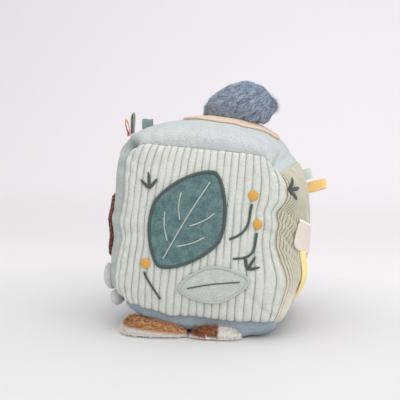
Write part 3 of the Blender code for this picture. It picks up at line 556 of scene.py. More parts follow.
pile = bpy.data.node_groups.new("pile", "ShaderNodeTree")
given, result = with_sockets(pile, (
    ("Place", "NodeSocketVector", None), ("Colour", "NodeSocketColor", (1, 1, 1, 1)),
    ("Shade", "NodeSocketColor", (0.5, 0.5, 0.5, 1)), ("Stroke Size", "NodeSocketFloat", 0.012),
    ("Fibre Size", "NodeSocketFloat", 0.0007), ("Strength", "NodeSocketFloat", 0.5),
    ("Stroke Share", "NodeSocketFloat", 0.28)), (
    ("Colour", "NodeSocketColor"), ("Height", "NodeSocketFloat")))
strokes = put(pile, "ShaderNodeTexNoise", {
    "Vector": given["Place"], "Scale": maths(pile, "DIVIDE", 1.0, given["Stroke Size"]), "Detail": 3.0,
    "Distortion": 0.6})
fibres = put(pile, "ShaderNodeTexNoise", {
    "Vector": given["Place"], "Scale": maths(pile, "DIVIDE", 1.0, given["Fibre Size"]), "Detail": 2.0})
stroked = ranged(pile, strokes.outputs["Fac"], 0.36, 0.66)
speckled = ranged(pile, fibres.outputs["Fac"], 0.3, 0.7)
blended = maths(pile, "ADD", maths(pile, "MULTIPLY", stroked, given["Stroke Share"]), maths(
    pile, "MULTIPLY", speckled, maths(pile, "SUBTRACT", 1.0, given["Stroke Share"])))
shaded = maths(pile, "MULTIPLY", maths(pile, "SUBTRACT", 1.0, blended), given["Strength"])
pile.links.new(mixed(pile, shaded, given["Colour"], given["Shade"]), result.inputs["Colour"])
pile.links.new(speckled, result.inputs["Height"])


def new_finish(name, settings):
    """A material, its node tree and its shader, with the shader's own settings made."""
    finish = bpy.data.materials.new(name)
    finish.use_nodes = True
    shader = finish.node_tree.nodes["Principled BSDF"]
    for socket, value in settings.items():
        shader.inputs[socket].default_value = value
    return finish, finish.node_tree, shader


def own_place(tree):
    return put(tree, "ShaderNodeTexCoord").outputs["Object"]


def mark_on(tree, name):
    return put(tree, "ShaderNodeAttribute", attribute_name=name).outputs["Fac"]


def surfaced(tree, shader, colour, height, relief, strength):
    """Gives the shader its colour and a fine bump."""
    tree.links.new(colour, shader.inputs["Base Color"])
    bump = put(tree, "ShaderNodeBump", {"Height": height, "Distance": relief, "Strength": strength})
    tree.links.new(bump.outputs[0], shader.inputs["Normal"])


def pile_cloth(name, colour, shade, stroke=0.012, fibre=0.0007, strength=0.5, sheen=0.35, relief=0.0003,
               marked=(), stroke_share=0.28):
    """Velour or corduroy. Where the piece carries a mark, it turns to that mark's colour."""
    cloth, tree, shader = new_finish(name, {
        "Roughness": 0.9, "Specular IOR Level": 0.2, "Sheen Weight": sheen, "Sheen Roughness": 0.45,
        "Sheen Tint": dyed(*[min(255, part + 25) for part in colour])})
    nap = put(tree, "ShaderNodeGroup", {
        "Place": own_place(tree), "Colour": dyed(*colour), "Shade": dyed(*shade), "Stroke Size": stroke,
        "Fibre Size": fibre, "Strength": strength, "Stroke Share": stroke_share}, node_tree=pile)
    finish = nap.outputs["Colour"]
    for mark, turned_to in marked:
        finish = mixed(tree, mark_on(tree, mark), finish, dyed(*turned_to))
    surfaced(tree, shader, finish, nap.outputs["Height"], relief, 0.7)
    return cloth


# Front panel: pale mint corduroy with broad upright ribs, whose rounded ends run into the seams.
# The ribs are formed in the cloth itself, and the hollows between them and the rib ends at the seams are painted a
# greyer green: painted shade.
RIBS, RIB_HEIGHT, CLOTH, PANEL_FILL = 22, 0.0015, 0.0010, 0.85
rib_cut = np.array([-1, -0.90, -0.74, -0.42, 0, 0.42, 0.74, 0.90])
rib_number = np.repeat(np.arange(RIBS), len(rib_cut))
rib_share = np.tile(rib_cut, RIBS)


def even_steps(line, shares):
    """The values between -1 and 1 at which shares of the way along the line are reached."""
    fine = crowded(801)
    run = np.concatenate([[0], np.cumsum(np.linalg.norm(np.diff(line(fine), axis=0), axis=1))])
    return np.interp((np.asarray(shares) + 1) / 2 * run[-1], run, fine)


def belongs(piece, body, node):
    """What the piece moves with, and the node it stands for, which is hidden."""
    if body:
        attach(piece, body)
    if node:
        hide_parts(node)
    return piece


rib_across = even_steps(lambda value: face_form(value, 0 * value, -1.0), np.append(
    -1 + (2 * rib_number + 1 + rib_share) / RIBS, 1.0))
rib_share = np.append(rib_share, 1.0)
rib_number = np.append(rib_number, RIBS - 1)
across, up = np.meshgrid(rib_across, crowded(151, 0.5), indexing="ij")
rng = np.random.default_rng(4)
rib_full = rng.uniform(0.82, 1.1, RIBS)[rib_number][:, None]
rib_phase = rng.uniform(0, 6, RIBS)[rib_number][:, None]
rib_to_end = ((1 - np.abs(up)) * HALF_HEIGHT - 0.0007) / 0.0032
rib_end = np.sqrt(np.clip(1 - (1 - np.clip(rib_to_end, 0, 1)) ** 2, 0, 1))
rib_round = np.clip(1 - np.abs(rib_share) ** 2.6, 0, 1)[:, None] ** 0.62
wander = 0.006 * np.sin(up * 4 + rib_phase) + 0.004 * np.sin(up * 11 + 3 * rib_phase + across * 9)
wander *= (1 - up ** 4)
wander += 0.10 * np.maximum(-across, 0) * np.maximum(up, 0) ** 5
wander *= (1 - across ** 8)
front_points = front_skin(across + wander, up)
front_out = outward_of(front_skin(across, up))
# How strong the painted shade in the hollows is: it changes from rib to rib and along each rib, and is weaker at the
# top middle.
groove_shade_strength = 0.50 + 0.22 * np.sin(3 * rib_phase) + 0.15 * np.sin(up * 5 + rib_phase)
groove_shade_strength -= mound(0.30, (across, 0.15, 0.45), (up, 0.85, 0.30))
rib_lift = rib_round * rib_end * rib_full * (1 + 0.06 * np.sin(up * 23 + 2 * rib_phase))
front_points += front_out * (RIB_HEIGHT * (1.12 * rib_lift - 0.12))[..., None]
mint_corduroy = pile_cloth(
    "mint_corduroy", (210, 214, 207), (182, 187, 179), 0.010, 0.0014, 0.70, 0.30, 0.0005,
    [("hollow", (160, 168, 161))])
belongs(sewn_sheet("cover_front", front_points, CLOTH, mint_corduroy, {
    "hollow": np.clip(1 - rib_lift * 1.35, 0, 1) ** 1.3 * np.clip(
        groove_shade_strength + np.exp(-rib_to_end.clip(0) / 0.6), 0, 1)}), "block", "front_panel")

# Top, left, bottom and back panels: plain velour in pale blue grey, sage, blue and sage. Each is one
# piece of cloth that swells between its seams.
PANEL_PILE = 0.012, 0.0014, 0.8, 0.35, 0.0005
for name, node, slot, first, last, colour, shade in (
        ("cover_top", "top_panel", "pale_velour", TOP_LEFT, TOP_RIGHT, (196, 201, 201), (170, 176, 178)),
        ("cover_bottom", "bottom_panel", "blue_velour", BOTTOM_RIGHT, BOTTOM_LEFT, (162, 174, 182), (126, 140, 152)),
        ("cover_left", "left_panel", "sage_velour", BOTTOM_LEFT, TOP_LEFT + 8, (186, 194, 189), (154, 165, 158))):
    turn_grid, back_grid = np.meshgrid(turns_between(first, last, 101), crowded(91), indexing="ij")
    # The tuck at the top left is painted a dark grey green on the velour: painted shade.
    velour = pile_cloth(name + "_velour", colour, shade, *PANEL_PILE, [("painted_tuck_shade", (88, 98, 95))])
    belongs(sewn_sheet(name, side_skin(turn_grid, back_grid), CLOTH, velour, {
        "painted_tuck_shade": tuck_shade_amount(turn_grid, back_grid)}), "block", node)
across_back, up_back = np.meshgrid(crowded(91), crowded(91), indexing="ij")
back_velour = pile_cloth("cover_back_velour", (186, 196, 189), (156, 167, 159), *PANEL_PILE)
belongs(sewn_sheet("cover_back", face_skin(across_back, up_back, 1.0, 1.0)[0], CLOTH, back_velour),
        "block", "back_panel")

# Right panel: olive-beige needlecord with fine upright wales, drawn into slanting folds from the place
# where the front's side seam is tight.
WALES, WALE_HEIGHT, WALE_SUNK = 54, 0.0009, 0.0002
wale_cut = np.array([-1, -0.75, -0.35, 0.35, 0.75])
wale_share = np.append(np.tile(wale_cut, WALES), 1.0)
wale_back = even_steps(lambda value: band_form(2 + 0 * value, value), np.append(
    -1 + (2 * np.repeat(np.arange(WALES), len(wale_cut)) + 1 + np.tile(wale_cut, WALES)) / WALES, 1.0))
turn_grid, back_grid = np.meshgrid(turns_between(TOP_RIGHT, BOTTOM_RIGHT, 121), wale_back, indexing="ij")
wale_wander = 0.004 * np.sin(turn_grid * 9) * (1 - back_grid ** 2)
cord_points = side_skin(turn_grid, back_grid + wale_wander)
cord_out = outward_of(side_skin(turn_grid, back_grid))
wale_lift = np.clip(1 - np.abs(wale_share) ** 2.5, 0, 1) ** 0.6 * (1 + 0 * turn_grid)
cord_points += cord_out * (WALE_HEIGHT * wale_lift - WALE_SUNK)[..., None]
cord_points[..., 2] = np.maximum(cord_points[..., 2], FLOOR_GAP)
# The grooves between the wales are painted a dark olive, painted shade, and a patch low on the panel near the front
# seam is painted paler, painted light.
needlecord = pile_cloth(
    "sage_needlecord", (208, 205, 188), (176, 173, 152), 0.009, 0.0012, 0.8, 0.3, 0.0003,
    [("hollow", (122, 120, 98)), ("painted_light_low_front", (232, 226, 216))])
belongs(sewn_sheet("cover_right", cord_points, CLOTH, needlecord, {
    "hollow": (1 - wale_lift) * 0.9,
    "painted_light_low_front": mound(0.75, (back_grid, -0.88, 0.16), (turn_grid, 2.55, 0.24))}),
        "block", "right_panel")


# Cloth leaves on the front: a teal velour leaf and a pale one, each a padded cut-out held by a dense
# satin-stitched edge, with stitched veins. Berries, sprigs and stems fill the corners.
def edge_of(angle, half_length, half_width, degrees=0.0, sharpness=1.5):
    """The radius of a rounded outline in each direction: 1.5 is a leaf, 2 an oval, 4 a soft oblong."""
    turned = angle - math.radians(degrees)
    reach = (np.abs(np.cos(turned)) / half_length) ** sharpness
    return (reach + (np.abs(np.sin(turned)) / half_width) ** sharpness) ** (-1 / sharpness)


def lifted(place, first, second, lift, step=0.0025):
    """Places on the cover, lifted along its own outward direction, and that direction."""
    slope_a = place(first + step, second) - place(first - step, second)
    slope_b = place(first, second + step) - place(first, second - step)
    out = np.cross(slope_a, slope_b)
    out /= np.linalg.norm(out, axis=-1, keepdims=True)
    here = place(first, second)
    out *= np.sign(((here - CENTRE) * out).sum(-1, keepdims=True))
    return here + out * np.asarray(lift)[..., None], out


def faced_out(data):
    cells = bmesh.new()
    cells.from_mesh(data)
    bmesh.ops.recalc_face_normals(cells, faces=cells.faces[:])
    cells.to_mesh(data)
    cells.free()


def laid(name, place, centre, outline, thickness, lift, material, rings=26, spokes=96, plump=0.0, ruck=0.0):
    """A padded cut-out on the cover, closed, with rounded edges and a slightly plump middle."""
    angles = np.linspace(0, math.tau, spokes, endpoint=False)
    ring_share = np.sin(math.pi / 2 * np.linspace(0, 1, rings + 1)[1:])
    share, angle = np.meshgrid(ring_share, angles, indexing="ij")
    radius = share * outline(angle)
    first = centre[0] + radius * np.cos(angle)
    second = centre[1] + radius * np.sin(angle)
    from_edge = (1 - share) * outline(angle)
    rounded = np.sqrt(np.clip(1 - (1 - np.clip(from_edge / thickness, 0, 1)) ** 2, 0, 1))
    swell = plump * (1 - share ** 2) + ruck * np.sin(angle * 17 + 5 * share) * share ** 6 * (1 - share)
    top, out = lifted(place, first, second, lift + thickness * (0.3 + 0.7 * rounded) + swell)
    under, _ = lifted(place, first, second, lift + 0 * share)
    middle = [np.array([part]) for part in centre]
    top_middle, _ = lifted(place, *middle, np.array([lift + thickness + plump]))
    under_middle, _ = lifted(place, *middle, np.array([lift + 0.0]))
    count = rings * spokes
    index = np.arange(count).reshape(rings, spokes)
    following = np.roll(index, -1, 1)
    ring_faces = np.stack([index[:-1], index[1:], following[1:], following[:-1]], -1).reshape(-1, 4)
    edge_faces = np.stack([index[-1], index[-1] + count, following[-1] + count, following[-1]], -1)
    faces = [tuple(face) for face in np.concatenate([ring_faces, ring_faces[:, ::-1] + count, edge_faces])]
    faces += [(2 * count, one, two) for one, two in zip(index[0], following[0])]
    faces += [(2 * count + 1, two + count, one + count) for one, two in zip(index[0], following[0])]
    points = np.concatenate([top.reshape(-1, 3), under.reshape(-1, 3), top_middle, under_middle])
    data = bpy.data.meshes.new(name)
    data.from_pydata(points.tolist(), [], faces)
    faced_out(data)
    data.materials.append(material)
    data.shade_smooth()
    return add_object(name, data)


RIB_TOP, PATCH = RIB_HEIGHT + 0.0003, 0.0011
LEAF_CENTRE, LEAF_TURN, LEAF_SIZE = (-0.011, 0.011), 64, (0.045, 0.031)
PALE_CENTRE, PALE_TURN, PALE_SIZE = (0.014, -0.038), 14, (0.029, 0.0155)
teal_velour = pile_cloth(
    "teal_velour", (112, 138, 138), (62, 90, 95), 0.006, 0.0014, 0.95, 0.35, 0.0005, stroke_share=0.5)
grey_velour = pile_cloth("grey_velour", (196, 202, 196), (166, 174, 167), 0.007, 0.0014, 0.8, 0.35, 0.0005)
for node, centre, turn, size, cloth, slot in (
        ("leaf", LEAF_CENTRE, LEAF_TURN, LEAF_SIZE, teal_velour, "teal_velour"),
        ("pale_leaf", PALE_CENTRE, PALE_TURN, PALE_SIZE, grey_velour, "grey_velour")):
    belongs(laid(node + "_cloth", front_place, centre, lambda angle: edge_of(angle, *size, turn), PATCH,
                 RIB_TOP - 0.0005, cloth, plump=0.0006, ruck=0.0004), "block", node)

BERRY_RADIUS = 0.0042
ochre_felt = pile_cloth("ochre_felt", (222, 172, 88), (190, 134, 60), 0.003, 0.0005, 0.6, 0.2)
for node, across_share, up_share in (
        ("berry_upper", 0.60, 0.52), ("berry_middle", 0.70, 0.20), ("berry_lower", -0.62, -0.40)):
    belongs(laid(node + "_felt", front_place, (across_share * HALF_WIDTH, up_share * HALF_HEIGHT),
                 lambda angle: BERRY_RADIUS + 0 * angle, PATCH, RIB_TOP - 0.0004, ochre_felt, 10, 40, 0.0007),
            "block", node)

# Satin stitches: shiny threads laid side by side across each line, over every edge, vein and stem.
stitch_tree = bpy.data.node_groups.new("satin_stitches", "GeometryNodeTree")
given, result = with_sockets(stitch_tree, (
    ("Geometry", "NodeSocketGeometry", None), ("Thread", "NodeSocketFloat", 0.00055),
    ("Height", "NodeSocketFloat", 0.0008), ("Finish", "NodeSocketMaterial", None),
    ("Seed", "NodeSocketInt", 0)), (("Geometry", "NodeSocketGeometry"),))


def mark_of(tree, name, kind):
    return put(tree, "GeometryNodeInputNamedAttribute", {"Name": name}, data_type=kind).outputs["Attribute"]


def by_chance(tree, least, most, seed):
    return put(tree, "FunctionNodeRandomValue", {2: least, 3: most, 8: seed}, data_type="FLOAT").outputs[1]


laid_across = put(stitch_tree, "FunctionNodeAlignRotationToVector", {
    "Vector": mark_of(stitch_tree, "across_line", "FLOAT_VECTOR")}, axis="X")
laid_flat = put(stitch_tree, "FunctionNodeAlignRotationToVector", {
    "Rotation": laid_across.outputs[0], "Vector": mark_of(stitch_tree, "out", "FLOAT_VECTOR")},
    axis="Z", pivot_axis="X")
stitch_size = put(stitch_tree, "ShaderNodeCombineXYZ", {
    0: maths(stitch_tree, "MULTIPLY", mark_of(stitch_tree, "reach", "FLOAT"),
             by_chance(stitch_tree, 0.88, 1.1, given["Seed"])),
    1: given["Thread"], 2: given["Height"]})
strand = put(stitch_tree, "GeometryNodeMeshUVSphere", {"Segments": 8, "Rings": 4, "Radius": 0.5})
placed = put(stitch_tree, "GeometryNodeInstanceOnPoints", {
    "Points": given["Geometry"], "Instance": strand.outputs[0], "Rotation": laid_flat.outputs[0],
    "Scale": stitch_size.outputs[0]})
made_real = put(stitch_tree, "GeometryNodeRealizeInstances", {0: placed.outputs[0]})
dressed = put(stitch_tree, "GeometryNodeSetMaterial", {
    "Geometry": made_real.outputs[0], "Material": given["Finish"]})
stitch_tree.links.new(dressed.outputs[0], result.inputs[0])


def grown(name, source, tree, values):
    """Runs the tree on the source and keeps what it makes as a plain mesh; the source goes."""
    modifier = source.modifiers.new("grown", "NODES")
    modifier.node_group = tree
    for socket in tree.interface.items_tree:
        if socket.in_out == "INPUT" and socket.name in values:
            modifier[socket.identifier] = values[socket.name]
    graph = bpy.context.evaluated_depsgraph_get()
    data = bpy.data.meshes.new_from_object(source.evaluated_get(graph), depsgraph=graph)
    data.name = name
    data.shade_smooth()
    bpy.data.objects.remove(source)
    return add_object(name, data)


def thread_finish(name, colour, shade):
    """Rayon embroidery thread: smooth, with a soft shine."""
    finish, tree, shader = new_finish(name, {"Roughness": 0.5, "Sheen Weight": 0.15})
    nap = put(tree, "ShaderNodeGroup", {
        "Place": own_place(tree), "Colour": dyed(*colour), "Shade": dyed(*shade), "Stroke Size": 0.004,
        "Fibre Size": 0.0009, "Strength": 0.6}, node_tree=pile)
    surfaced(tree, shader, nap.outputs["Colour"], nap.outputs["Height"], 0.0001, 0.5)
    return finish


dark_thread = thread_finish("dark_thread", (78, 92, 88), (52, 64, 62))
pale_thread = thread_finish("pale_thread", (190, 200, 192), (160, 172, 164))
peach_thread = thread_finish("peach_thread", (238, 212, 186), (214, 184, 154))
THREAD, PITCH, ON_PATCH, ON_WALES = 0.0006, 0.00046, RIB_TOP + PATCH - 0.0001, 0.0010


def stitched(name, place, lines, width, lift, finish, node, taper=0.0):
    """Satin stitches along lines of places on the cover; each stitch lies across its line."""
    spots, sideways, outs, reaches = [], [], [], []
    for first, second in lines:
        fine, out = lifted(place, first, second, lift + 0 * first)
        run = np.concatenate([[0], np.cumsum(np.linalg.norm(np.diff(fine, axis=0), axis=1))])
        steps = np.linspace(0, run[-1], max(int(run[-1] / PITCH), 3))
        spot = np.stack([np.interp(steps, run, fine[:, axis]) for axis in range(3)], -1)
        facing = np.stack([np.interp(steps, run, out[:, axis]) for axis in range(3)], -1)
        swelling = np.sin(math.pi * np.linspace(0.04, 0.98, len(spot))) ** 0.7
        reaches.append(width * (1 - taper + taper * swelling))
        spots.append(spot)
        outs.append(facing)
        sideways.append(np.cross(np.gradient(spot, axis=0), facing))
    spots, outs, sideways = (np.concatenate(part) for part in (spots, outs, sideways))
    sideways /= np.linalg.norm(sideways, axis=1, keepdims=True)
    points = mesh_piece(name + "_points", spots, np.zeros((0, 3), int), finish, {
        "across_line": sideways, "out": outs, "reach": np.concatenate(reaches)})
    piece = grown(name, points, stitch_tree, {"Finish": finish, "Seed": len(spots), "Thread": THREAD})
    return belongs(piece, "block", node)


def ring_line(centre, outline, count=400):
    angle = np.linspace(0, math.tau, count)
    radius = outline(angle)
    return centre[0] + radius * np.cos(angle), centre[1] + radius * np.sin(angle)


def vein_line(centre, degrees, size, start, end, bend):
    share = np.linspace(0, 1, 60)
    ahead = (start[0] + (end[0] - start[0]) * share) * size[0]
    aside = (start[1] + (end[1] - start[1]) * share + bend * np.sin(math.pi * share)) * size[1]
    turn = math.radians(degrees)
    return (centre[0] + ahead * math.cos(turn) - aside * math.sin(turn),
            centre[1] + ahead * math.sin(turn) + aside * math.cos(turn))


stitched("leaf_edge", front_place, [ring_line(LEAF_CENTRE, lambda angle: edge_of(
    angle, LEAF_SIZE[0] - 0.0018, LEAF_SIZE[1] - 0.0010, LEAF_TURN))], 0.0030, ON_PATCH, dark_thread,
    "leaf_border")
stitched("pale_leaf_edge", front_place, [ring_line(PALE_CENTRE, lambda angle: edge_of(
    angle, PALE_SIZE[0] - 0.0018, PALE_SIZE[1] - 0.0010, PALE_TURN))], 0.0026, ON_PATCH, pale_thread,
    "pale_leaf_border")
for name, start, end, bend in (
        ("leaf_vein_middle", (-0.80, 0.0), (0.78, 0.0), 0.04),
        ("leaf_vein_upper_left", (-0.05, 0.17), (0.36, 0.50), 0.05),
        ("leaf_vein_lower_left", (-0.48, 0.17), (-0.08, 0.60), 0.05),
        ("leaf_vein_upper_right", (-0.05, -0.13), (0.36, -0.50), -0.05),
        ("leaf_vein_lower_right", (-0.48, -0.13), (-0.08, -0.60), -0.05)):
    stitched(name + "_stitches", front_place, [vein_line(LEAF_CENTRE, LEAF_TURN, LEAF_SIZE, start, end, bend)],
             0.0013, ON_PATCH + 0.0006, pale_thread, name)
stitched("pale_leaf_vein_stitches", front_place, [vein_line(
    PALE_CENTRE, PALE_TURN, PALE_SIZE, (-0.7, 0), (0.7, 0), 0.06)], 0.0013, ON_PATCH + 0.0004, dark_thread,
    "pale_leaf_vein")
for name, start, end, bow in (
        ("stem_upper", (0.36, 0.00), (0.60, 0.42), 0.07), ("stem_middle", (0.42, -0.22), (0.70, 0.10), 0.08),
        ("stem_lower", (-0.40, -0.80), (-0.62, -0.50), -0.07)):
    share = np.linspace(0, 1, 60)
    bowed = bow * np.sin(math.pi * share)
    stitched(name + "_stitches", front_place, [(
        (start[0] + (end[0] - start[0]) * share + bowed) * HALF_WIDTH,
        (start[1] + (end[1] - start[1]) * share - bowed) * HALF_HEIGHT)], 0.0023, RIB_TOP + 0.0001,
        dark_thread, name)


def sprig(name, place, foot, degrees, node, fans=((-42, 0.0100), (0, 0.0130), (42, 0.0100)), width=0.0031):
    """Three narrow leaves that fan out from one foot, worked in rows of dark satin stitch."""
    lines = []
    for fan, length in fans:
        turn = math.radians(degrees + fan)
        share = np.linspace(0.0, 1, 30)
        lines.append((foot[0] + length * share * math.cos(turn), foot[1] + length * share * math.sin(turn)))
    return stitched(name, place, lines, width, (RIB_TOP if place is front_place else ON_WALES) + 0.0002,
                    dark_thread, node, taper=0.85)


sprig("sprig_left_stitches", front_place, (-0.044, 0.0325), 100, "sprig_left")
sprig("sprig_right_stitches", front_place, (0.039, -0.023), 60, "sprig_right")
side_fine = crowded(801)
side_run = np.cumsum(np.append(0, np.linalg.norm(np.diff(band_form(2 + 0 * side_fine, side_fine), axis=0), axis=1)))


def right_cloth(run, z):
    """A place on the right panel, for a run over the cloth from the front seam and a height."""
    return right_skin(np.interp(run, side_run, side_fine) * HALF_DEPTH, z)


sprig("side_sprig_stitches", right_cloth, (0.0036, 0.0435), 0, "side_sprig",
      ((-42, 0.0120), (2, 0.0150), (46, 0.0125)), 0.0036)

# Crown: a round peach velour cut-out with a stitched rim, on the top's middle.
DISC_CENTRE = (0.008, 0.002)
peach_velour = pile_cloth("peach_velour", (218, 197, 180), (200, 174, 152), 0.009, 0.0007, 0.6, 0.35)
belongs(laid("peach_cloth", top_skin, DISC_CENTRE, lambda angle: edge_of(angle, 0.044, 0.041, 0, 2.0), 0.0016,
             0.0003, peach_velour, plump=0.0005, ruck=0.0006), "block", "peach_disc")
stitched("peach_edge", top_skin, [ring_line(DISC_CENTRE, lambda angle: edge_of(
    angle, 0.0425, 0.0395, 0, 2.0))], 0.0024, 0.0017, peach_thread, "peach_disc_border")


# Pom-pom: a domed lump of long blue fur, clumped and combed down towards the front left. It sits on a short
# thread tie that lets it nod and rock, and a skirt of the same fur closes the gap below it.
def copied(node, name, levels=0, grow=0.0, material=None):
    """A merged copy of a CAD node, smoothed, and grown or shrunk along its own outward direction."""
    cells = bmesh.new()
    cells.from_mesh(frame["nodes"][node].data)
    bmesh.ops.remove_doubles(cells, verts=cells.verts[:], dist=0.00002)
    bmesh.ops.dissolve_limit(cells, angle_limit=math.radians(0.5), verts=cells.verts[:], edges=cells.edges[:])
    cells.normal_update()
    data = bpy.data.meshes.new(name)
    cells.to_mesh(data)
    cells.free()
    piece = add_object(name, data)
    if levels:
        rounding = piece.modifiers.new("rounding", "SUBSURF")
        rounding.levels = rounding.render_levels = levels
        graph = bpy.context.evaluated_depsgraph_get()
        finer = bpy.data.meshes.new_from_object(piece.evaluated_get(graph), depsgraph=graph)
        piece.modifiers.clear()
        piece.data = finer
        finer.name = name
    if grow:
        count = len(piece.data.vertices)
        points, normals = np.empty(count * 3), np.empty(count * 3)
        piece.data.vertices.foreach_get("co", points)
        piece.data.vertex_normals.foreach_get("vector", normals)
        piece.data.vertices.foreach_set("co", points + normals * grow)
    piece.data.materials.clear()
    piece.data.materials.append(material)
    piece.data.shade_smooth()
    return piece


STREAK_SIZE = 0.014, 0.0030, 0.0030


def fur(name, colour, root, tip, sheen=0.4, other=None, towards=(1, 0, 0), beyond=0.0, comb=(0, 0, 0)):
    """Pile hair with painted shade and light: dark at the roots, pale at the tips, lighter and darker in streaks
    along the locks, and a little different from tuft to tuft.

    Beyond a line it may turn to another colour, where a second piece of plush is let in.
    """
    hair, tree, shader = new_finish(name, {
        "Roughness": 0.75, "Specular IOR Level": 0.25, "Sheen Weight": sheen, "Sheen Roughness": 0.4,
        "Sheen Tint": dyed(*tip)})
    combed_place = put(tree, "ShaderNodeMapping", {
        "Vector": own_place(tree), "Rotation": comb, "Scale": STREAK_SIZE}, vector_type="TEXTURE").outputs[0]
    streaks = put(tree, "ShaderNodeTexNoise", {"Vector": combed_place, "Scale": 1.0, "Detail": 2.0}).outputs["Fac"]
    locks = ranged(tree, maths(tree, "ABSOLUTE", maths(tree, "SUBTRACT", streaks, 0.5)), 0.004, 0.045)
    lit = maths(tree, "MULTIPLY", maths(tree, "MULTIPLY", mark_on(tree, "chance"), 0.8), locks)
    grown_out = ranged(tree, mark_on(tree, "reach_out"), 0.1, 0.85)
    # Root colour near the roots and along the streaks' edges is painted shade; the tip colour in the lit streaks is
    # painted light.
    surface_colour = mixed(tree, maths(tree, "MULTIPLY", grown_out, locks), dyed(*root), mixed(
        tree, lit, dyed(*colour), dyed(*tip)))
    if other:
        reached = put(tree, "ShaderNodeVectorMath", {0: own_place(tree), 1: towards}, operation="DOT_PRODUCT")
        turned = ranged(tree, reached.outputs["Value"], beyond - 0.001, beyond + 0.001)
        surface_colour = mixed(tree, turned, surface_colour, mixed(
            tree, grown_out, dyed(*[part * 0.97 for part in other]), dyed(*other)))
    tree.links.new(surface_colour, shader.inputs["Base Color"])
    return hair


def tube_faces(rings, corners):
    """The faces between the rings of a tube."""
    faces = []
    for ring in range(rings - 1):
        for corner in range(corners):
            here, beside = corners * ring + corner, corners * ring + (corner + 1) % corners
            faces.append((here, beside, beside + corners, here + corners))
    return faces


def hair_shape(name, length, thick, bend, steps=3):
    """One tuft of hair: three-sided, tapering to a point, bent over to one side."""
    points, reach = [], []
    for step in range(steps):
        share = step / steps
        for corner in range(3):
            turn = math.tau * corner / 3
            radius = thick * (1 - share) ** 0.7
            points.append((radius * math.cos(turn) + bend * length * share ** 2, radius * math.sin(turn),
                           length * share * (1 - 0.2 * share)))
            reach.append(share)
    points.append((bend * length, 0, length * 0.8))
    reach.append(1)
    last = 3 * (steps - 1)
    faces = tube_faces(steps, 3) + [(last + corner, last + (corner + 1) % 3, 3 * steps) for corner in range(3)]
    data = bpy.data.meshes.new(name)
    data.from_pydata(points, [], faces)
    data.attributes.new("reach_out", "FLOAT", "POINT").data.foreach_set("value", reach)
    return add_object(name, data)


fur_tree = bpy.data.node_groups.new("combed_fur", "GeometryNodeTree")
given, result = with_sockets(fur_tree, (
    ("Geometry", "NodeSocketGeometry", None), ("Hair", "NodeSocketObject", None),
    ("Density", "NodeSocketFloat", 1e6), ("Clump Size", "NodeSocketFloat", 0.008),
    ("Clump Lean", "NodeSocketFloat", 1.4), ("Comb", "NodeSocketVector", (0, 0, 0)),
    ("Stray", "NodeSocketFloat", 0.5), ("Bare Below", "NodeSocketFloat", -1.1), ("Under", "NodeSocketFloat", 1.0),
    ("Least", "NodeSocketFloat", 0.7), ("Most", "NodeSocketFloat", 1.2),
    ("Finish", "NodeSocketMaterial", None), ("Seed", "NodeSocketInt", 0)), (("Geometry", "NodeSocketGeometry"),))


def vector_maths(tree, operation, first, second):
    return put(tree, "ShaderNodeVectorMath", {0: first, 1: second}, operation=operation).outputs[0]


def scaled(tree, vector, amount):
    return put(tree, "ShaderNodeVectorMath", {0: vector, "Scale": amount}, operation="SCALE").outputs[0]


facing_up = put(fur_tree, "ShaderNodeSeparateXYZ", {0: put(fur_tree, "GeometryNodeInputNormal").outputs[0]})
scattered = put(fur_tree, "GeometryNodeDistributePointsOnFaces", {
    "Mesh": given["Geometry"], "Density": given["Density"], "Seed": given["Seed"],
    "Selection": maths(fur_tree, "GREATER_THAN", facing_up.outputs["Z"], given["Bare Below"])})
clumps = put(fur_tree, "ShaderNodeTexNoise", {
    "Vector": put(fur_tree, "GeometryNodeInputPosition").outputs[0],
    "Scale": maths(fur_tree, "DIVIDE", 1.0, given["Clump Size"]), "Detail": 1.0})
clump_lean = scaled(fur_tree, vector_maths(fur_tree, "SUBTRACT", clumps.outputs["Color"], (0.5, 0.5, 0.5)),
                    given["Clump Lean"])
straying = put(fur_tree, "FunctionNodeRandomValue", {
    0: (-0.5, -0.5, -0.5), 1: (0.5, 0.5, 0.5), 8: given["Seed"]}, data_type="FLOAT_VECTOR")
heading = vector_maths(fur_tree, "ADD", vector_maths(
    fur_tree, "ADD", scattered.outputs["Normal"], clump_lean), vector_maths(
    fur_tree, "ADD", given["Comb"], scaled(fur_tree, straying.outputs[0], given["Stray"])))
stood_up = put(fur_tree, "FunctionNodeAlignRotationToVector", {"Vector": heading}, axis="Z")
combed = put(fur_tree, "FunctionNodeAlignRotationToVector", {
    "Rotation": stood_up.outputs[0], "Vector": vector_maths(fur_tree, "ADD", given["Comb"], clump_lean)},
    axis="X", pivot_axis="Z")
turned = put(fur_tree, "FunctionNodeRotateRotation", {
    "Rotation": combed.outputs[0], "Rotate By": put(fur_tree, "FunctionNodeAxisAngleToRotation", {
        "Axis": (0, 0, 1), "Angle": by_chance(fur_tree, -0.9, 0.9, given["Seed"])}).outputs[0]},
    rotation_space="LOCAL")
hair_size = by_chance(fur_tree, given["Least"], given["Most"], maths(fur_tree, "ADD", given["Seed"], 1.0))
facing = put(fur_tree, "ShaderNodeSeparateXYZ", {0: scattered.outputs["Normal"]})
underside = ranged(fur_tree, facing.outputs["Z"], -0.7, 0.1, given["Under"])
stood = put(fur_tree, "GeometryNodeInstanceOnPoints", {
    "Points": scattered.outputs["Points"],
    "Instance": put(fur_tree, "GeometryNodeObjectInfo", {"Object": given["Hair"]}).outputs["Geometry"],
    "Rotation": turned.outputs[0], "Scale": maths(fur_tree, "MULTIPLY", hair_size, underside)})
varied = put(fur_tree, "GeometryNodeStoreNamedAttribute", {
    "Geometry": stood.outputs[0], "Name": "chance", "Value": by_chance(fur_tree, 0.0, 1.0, given["Seed"])},
    data_type="FLOAT", domain="INSTANCE")
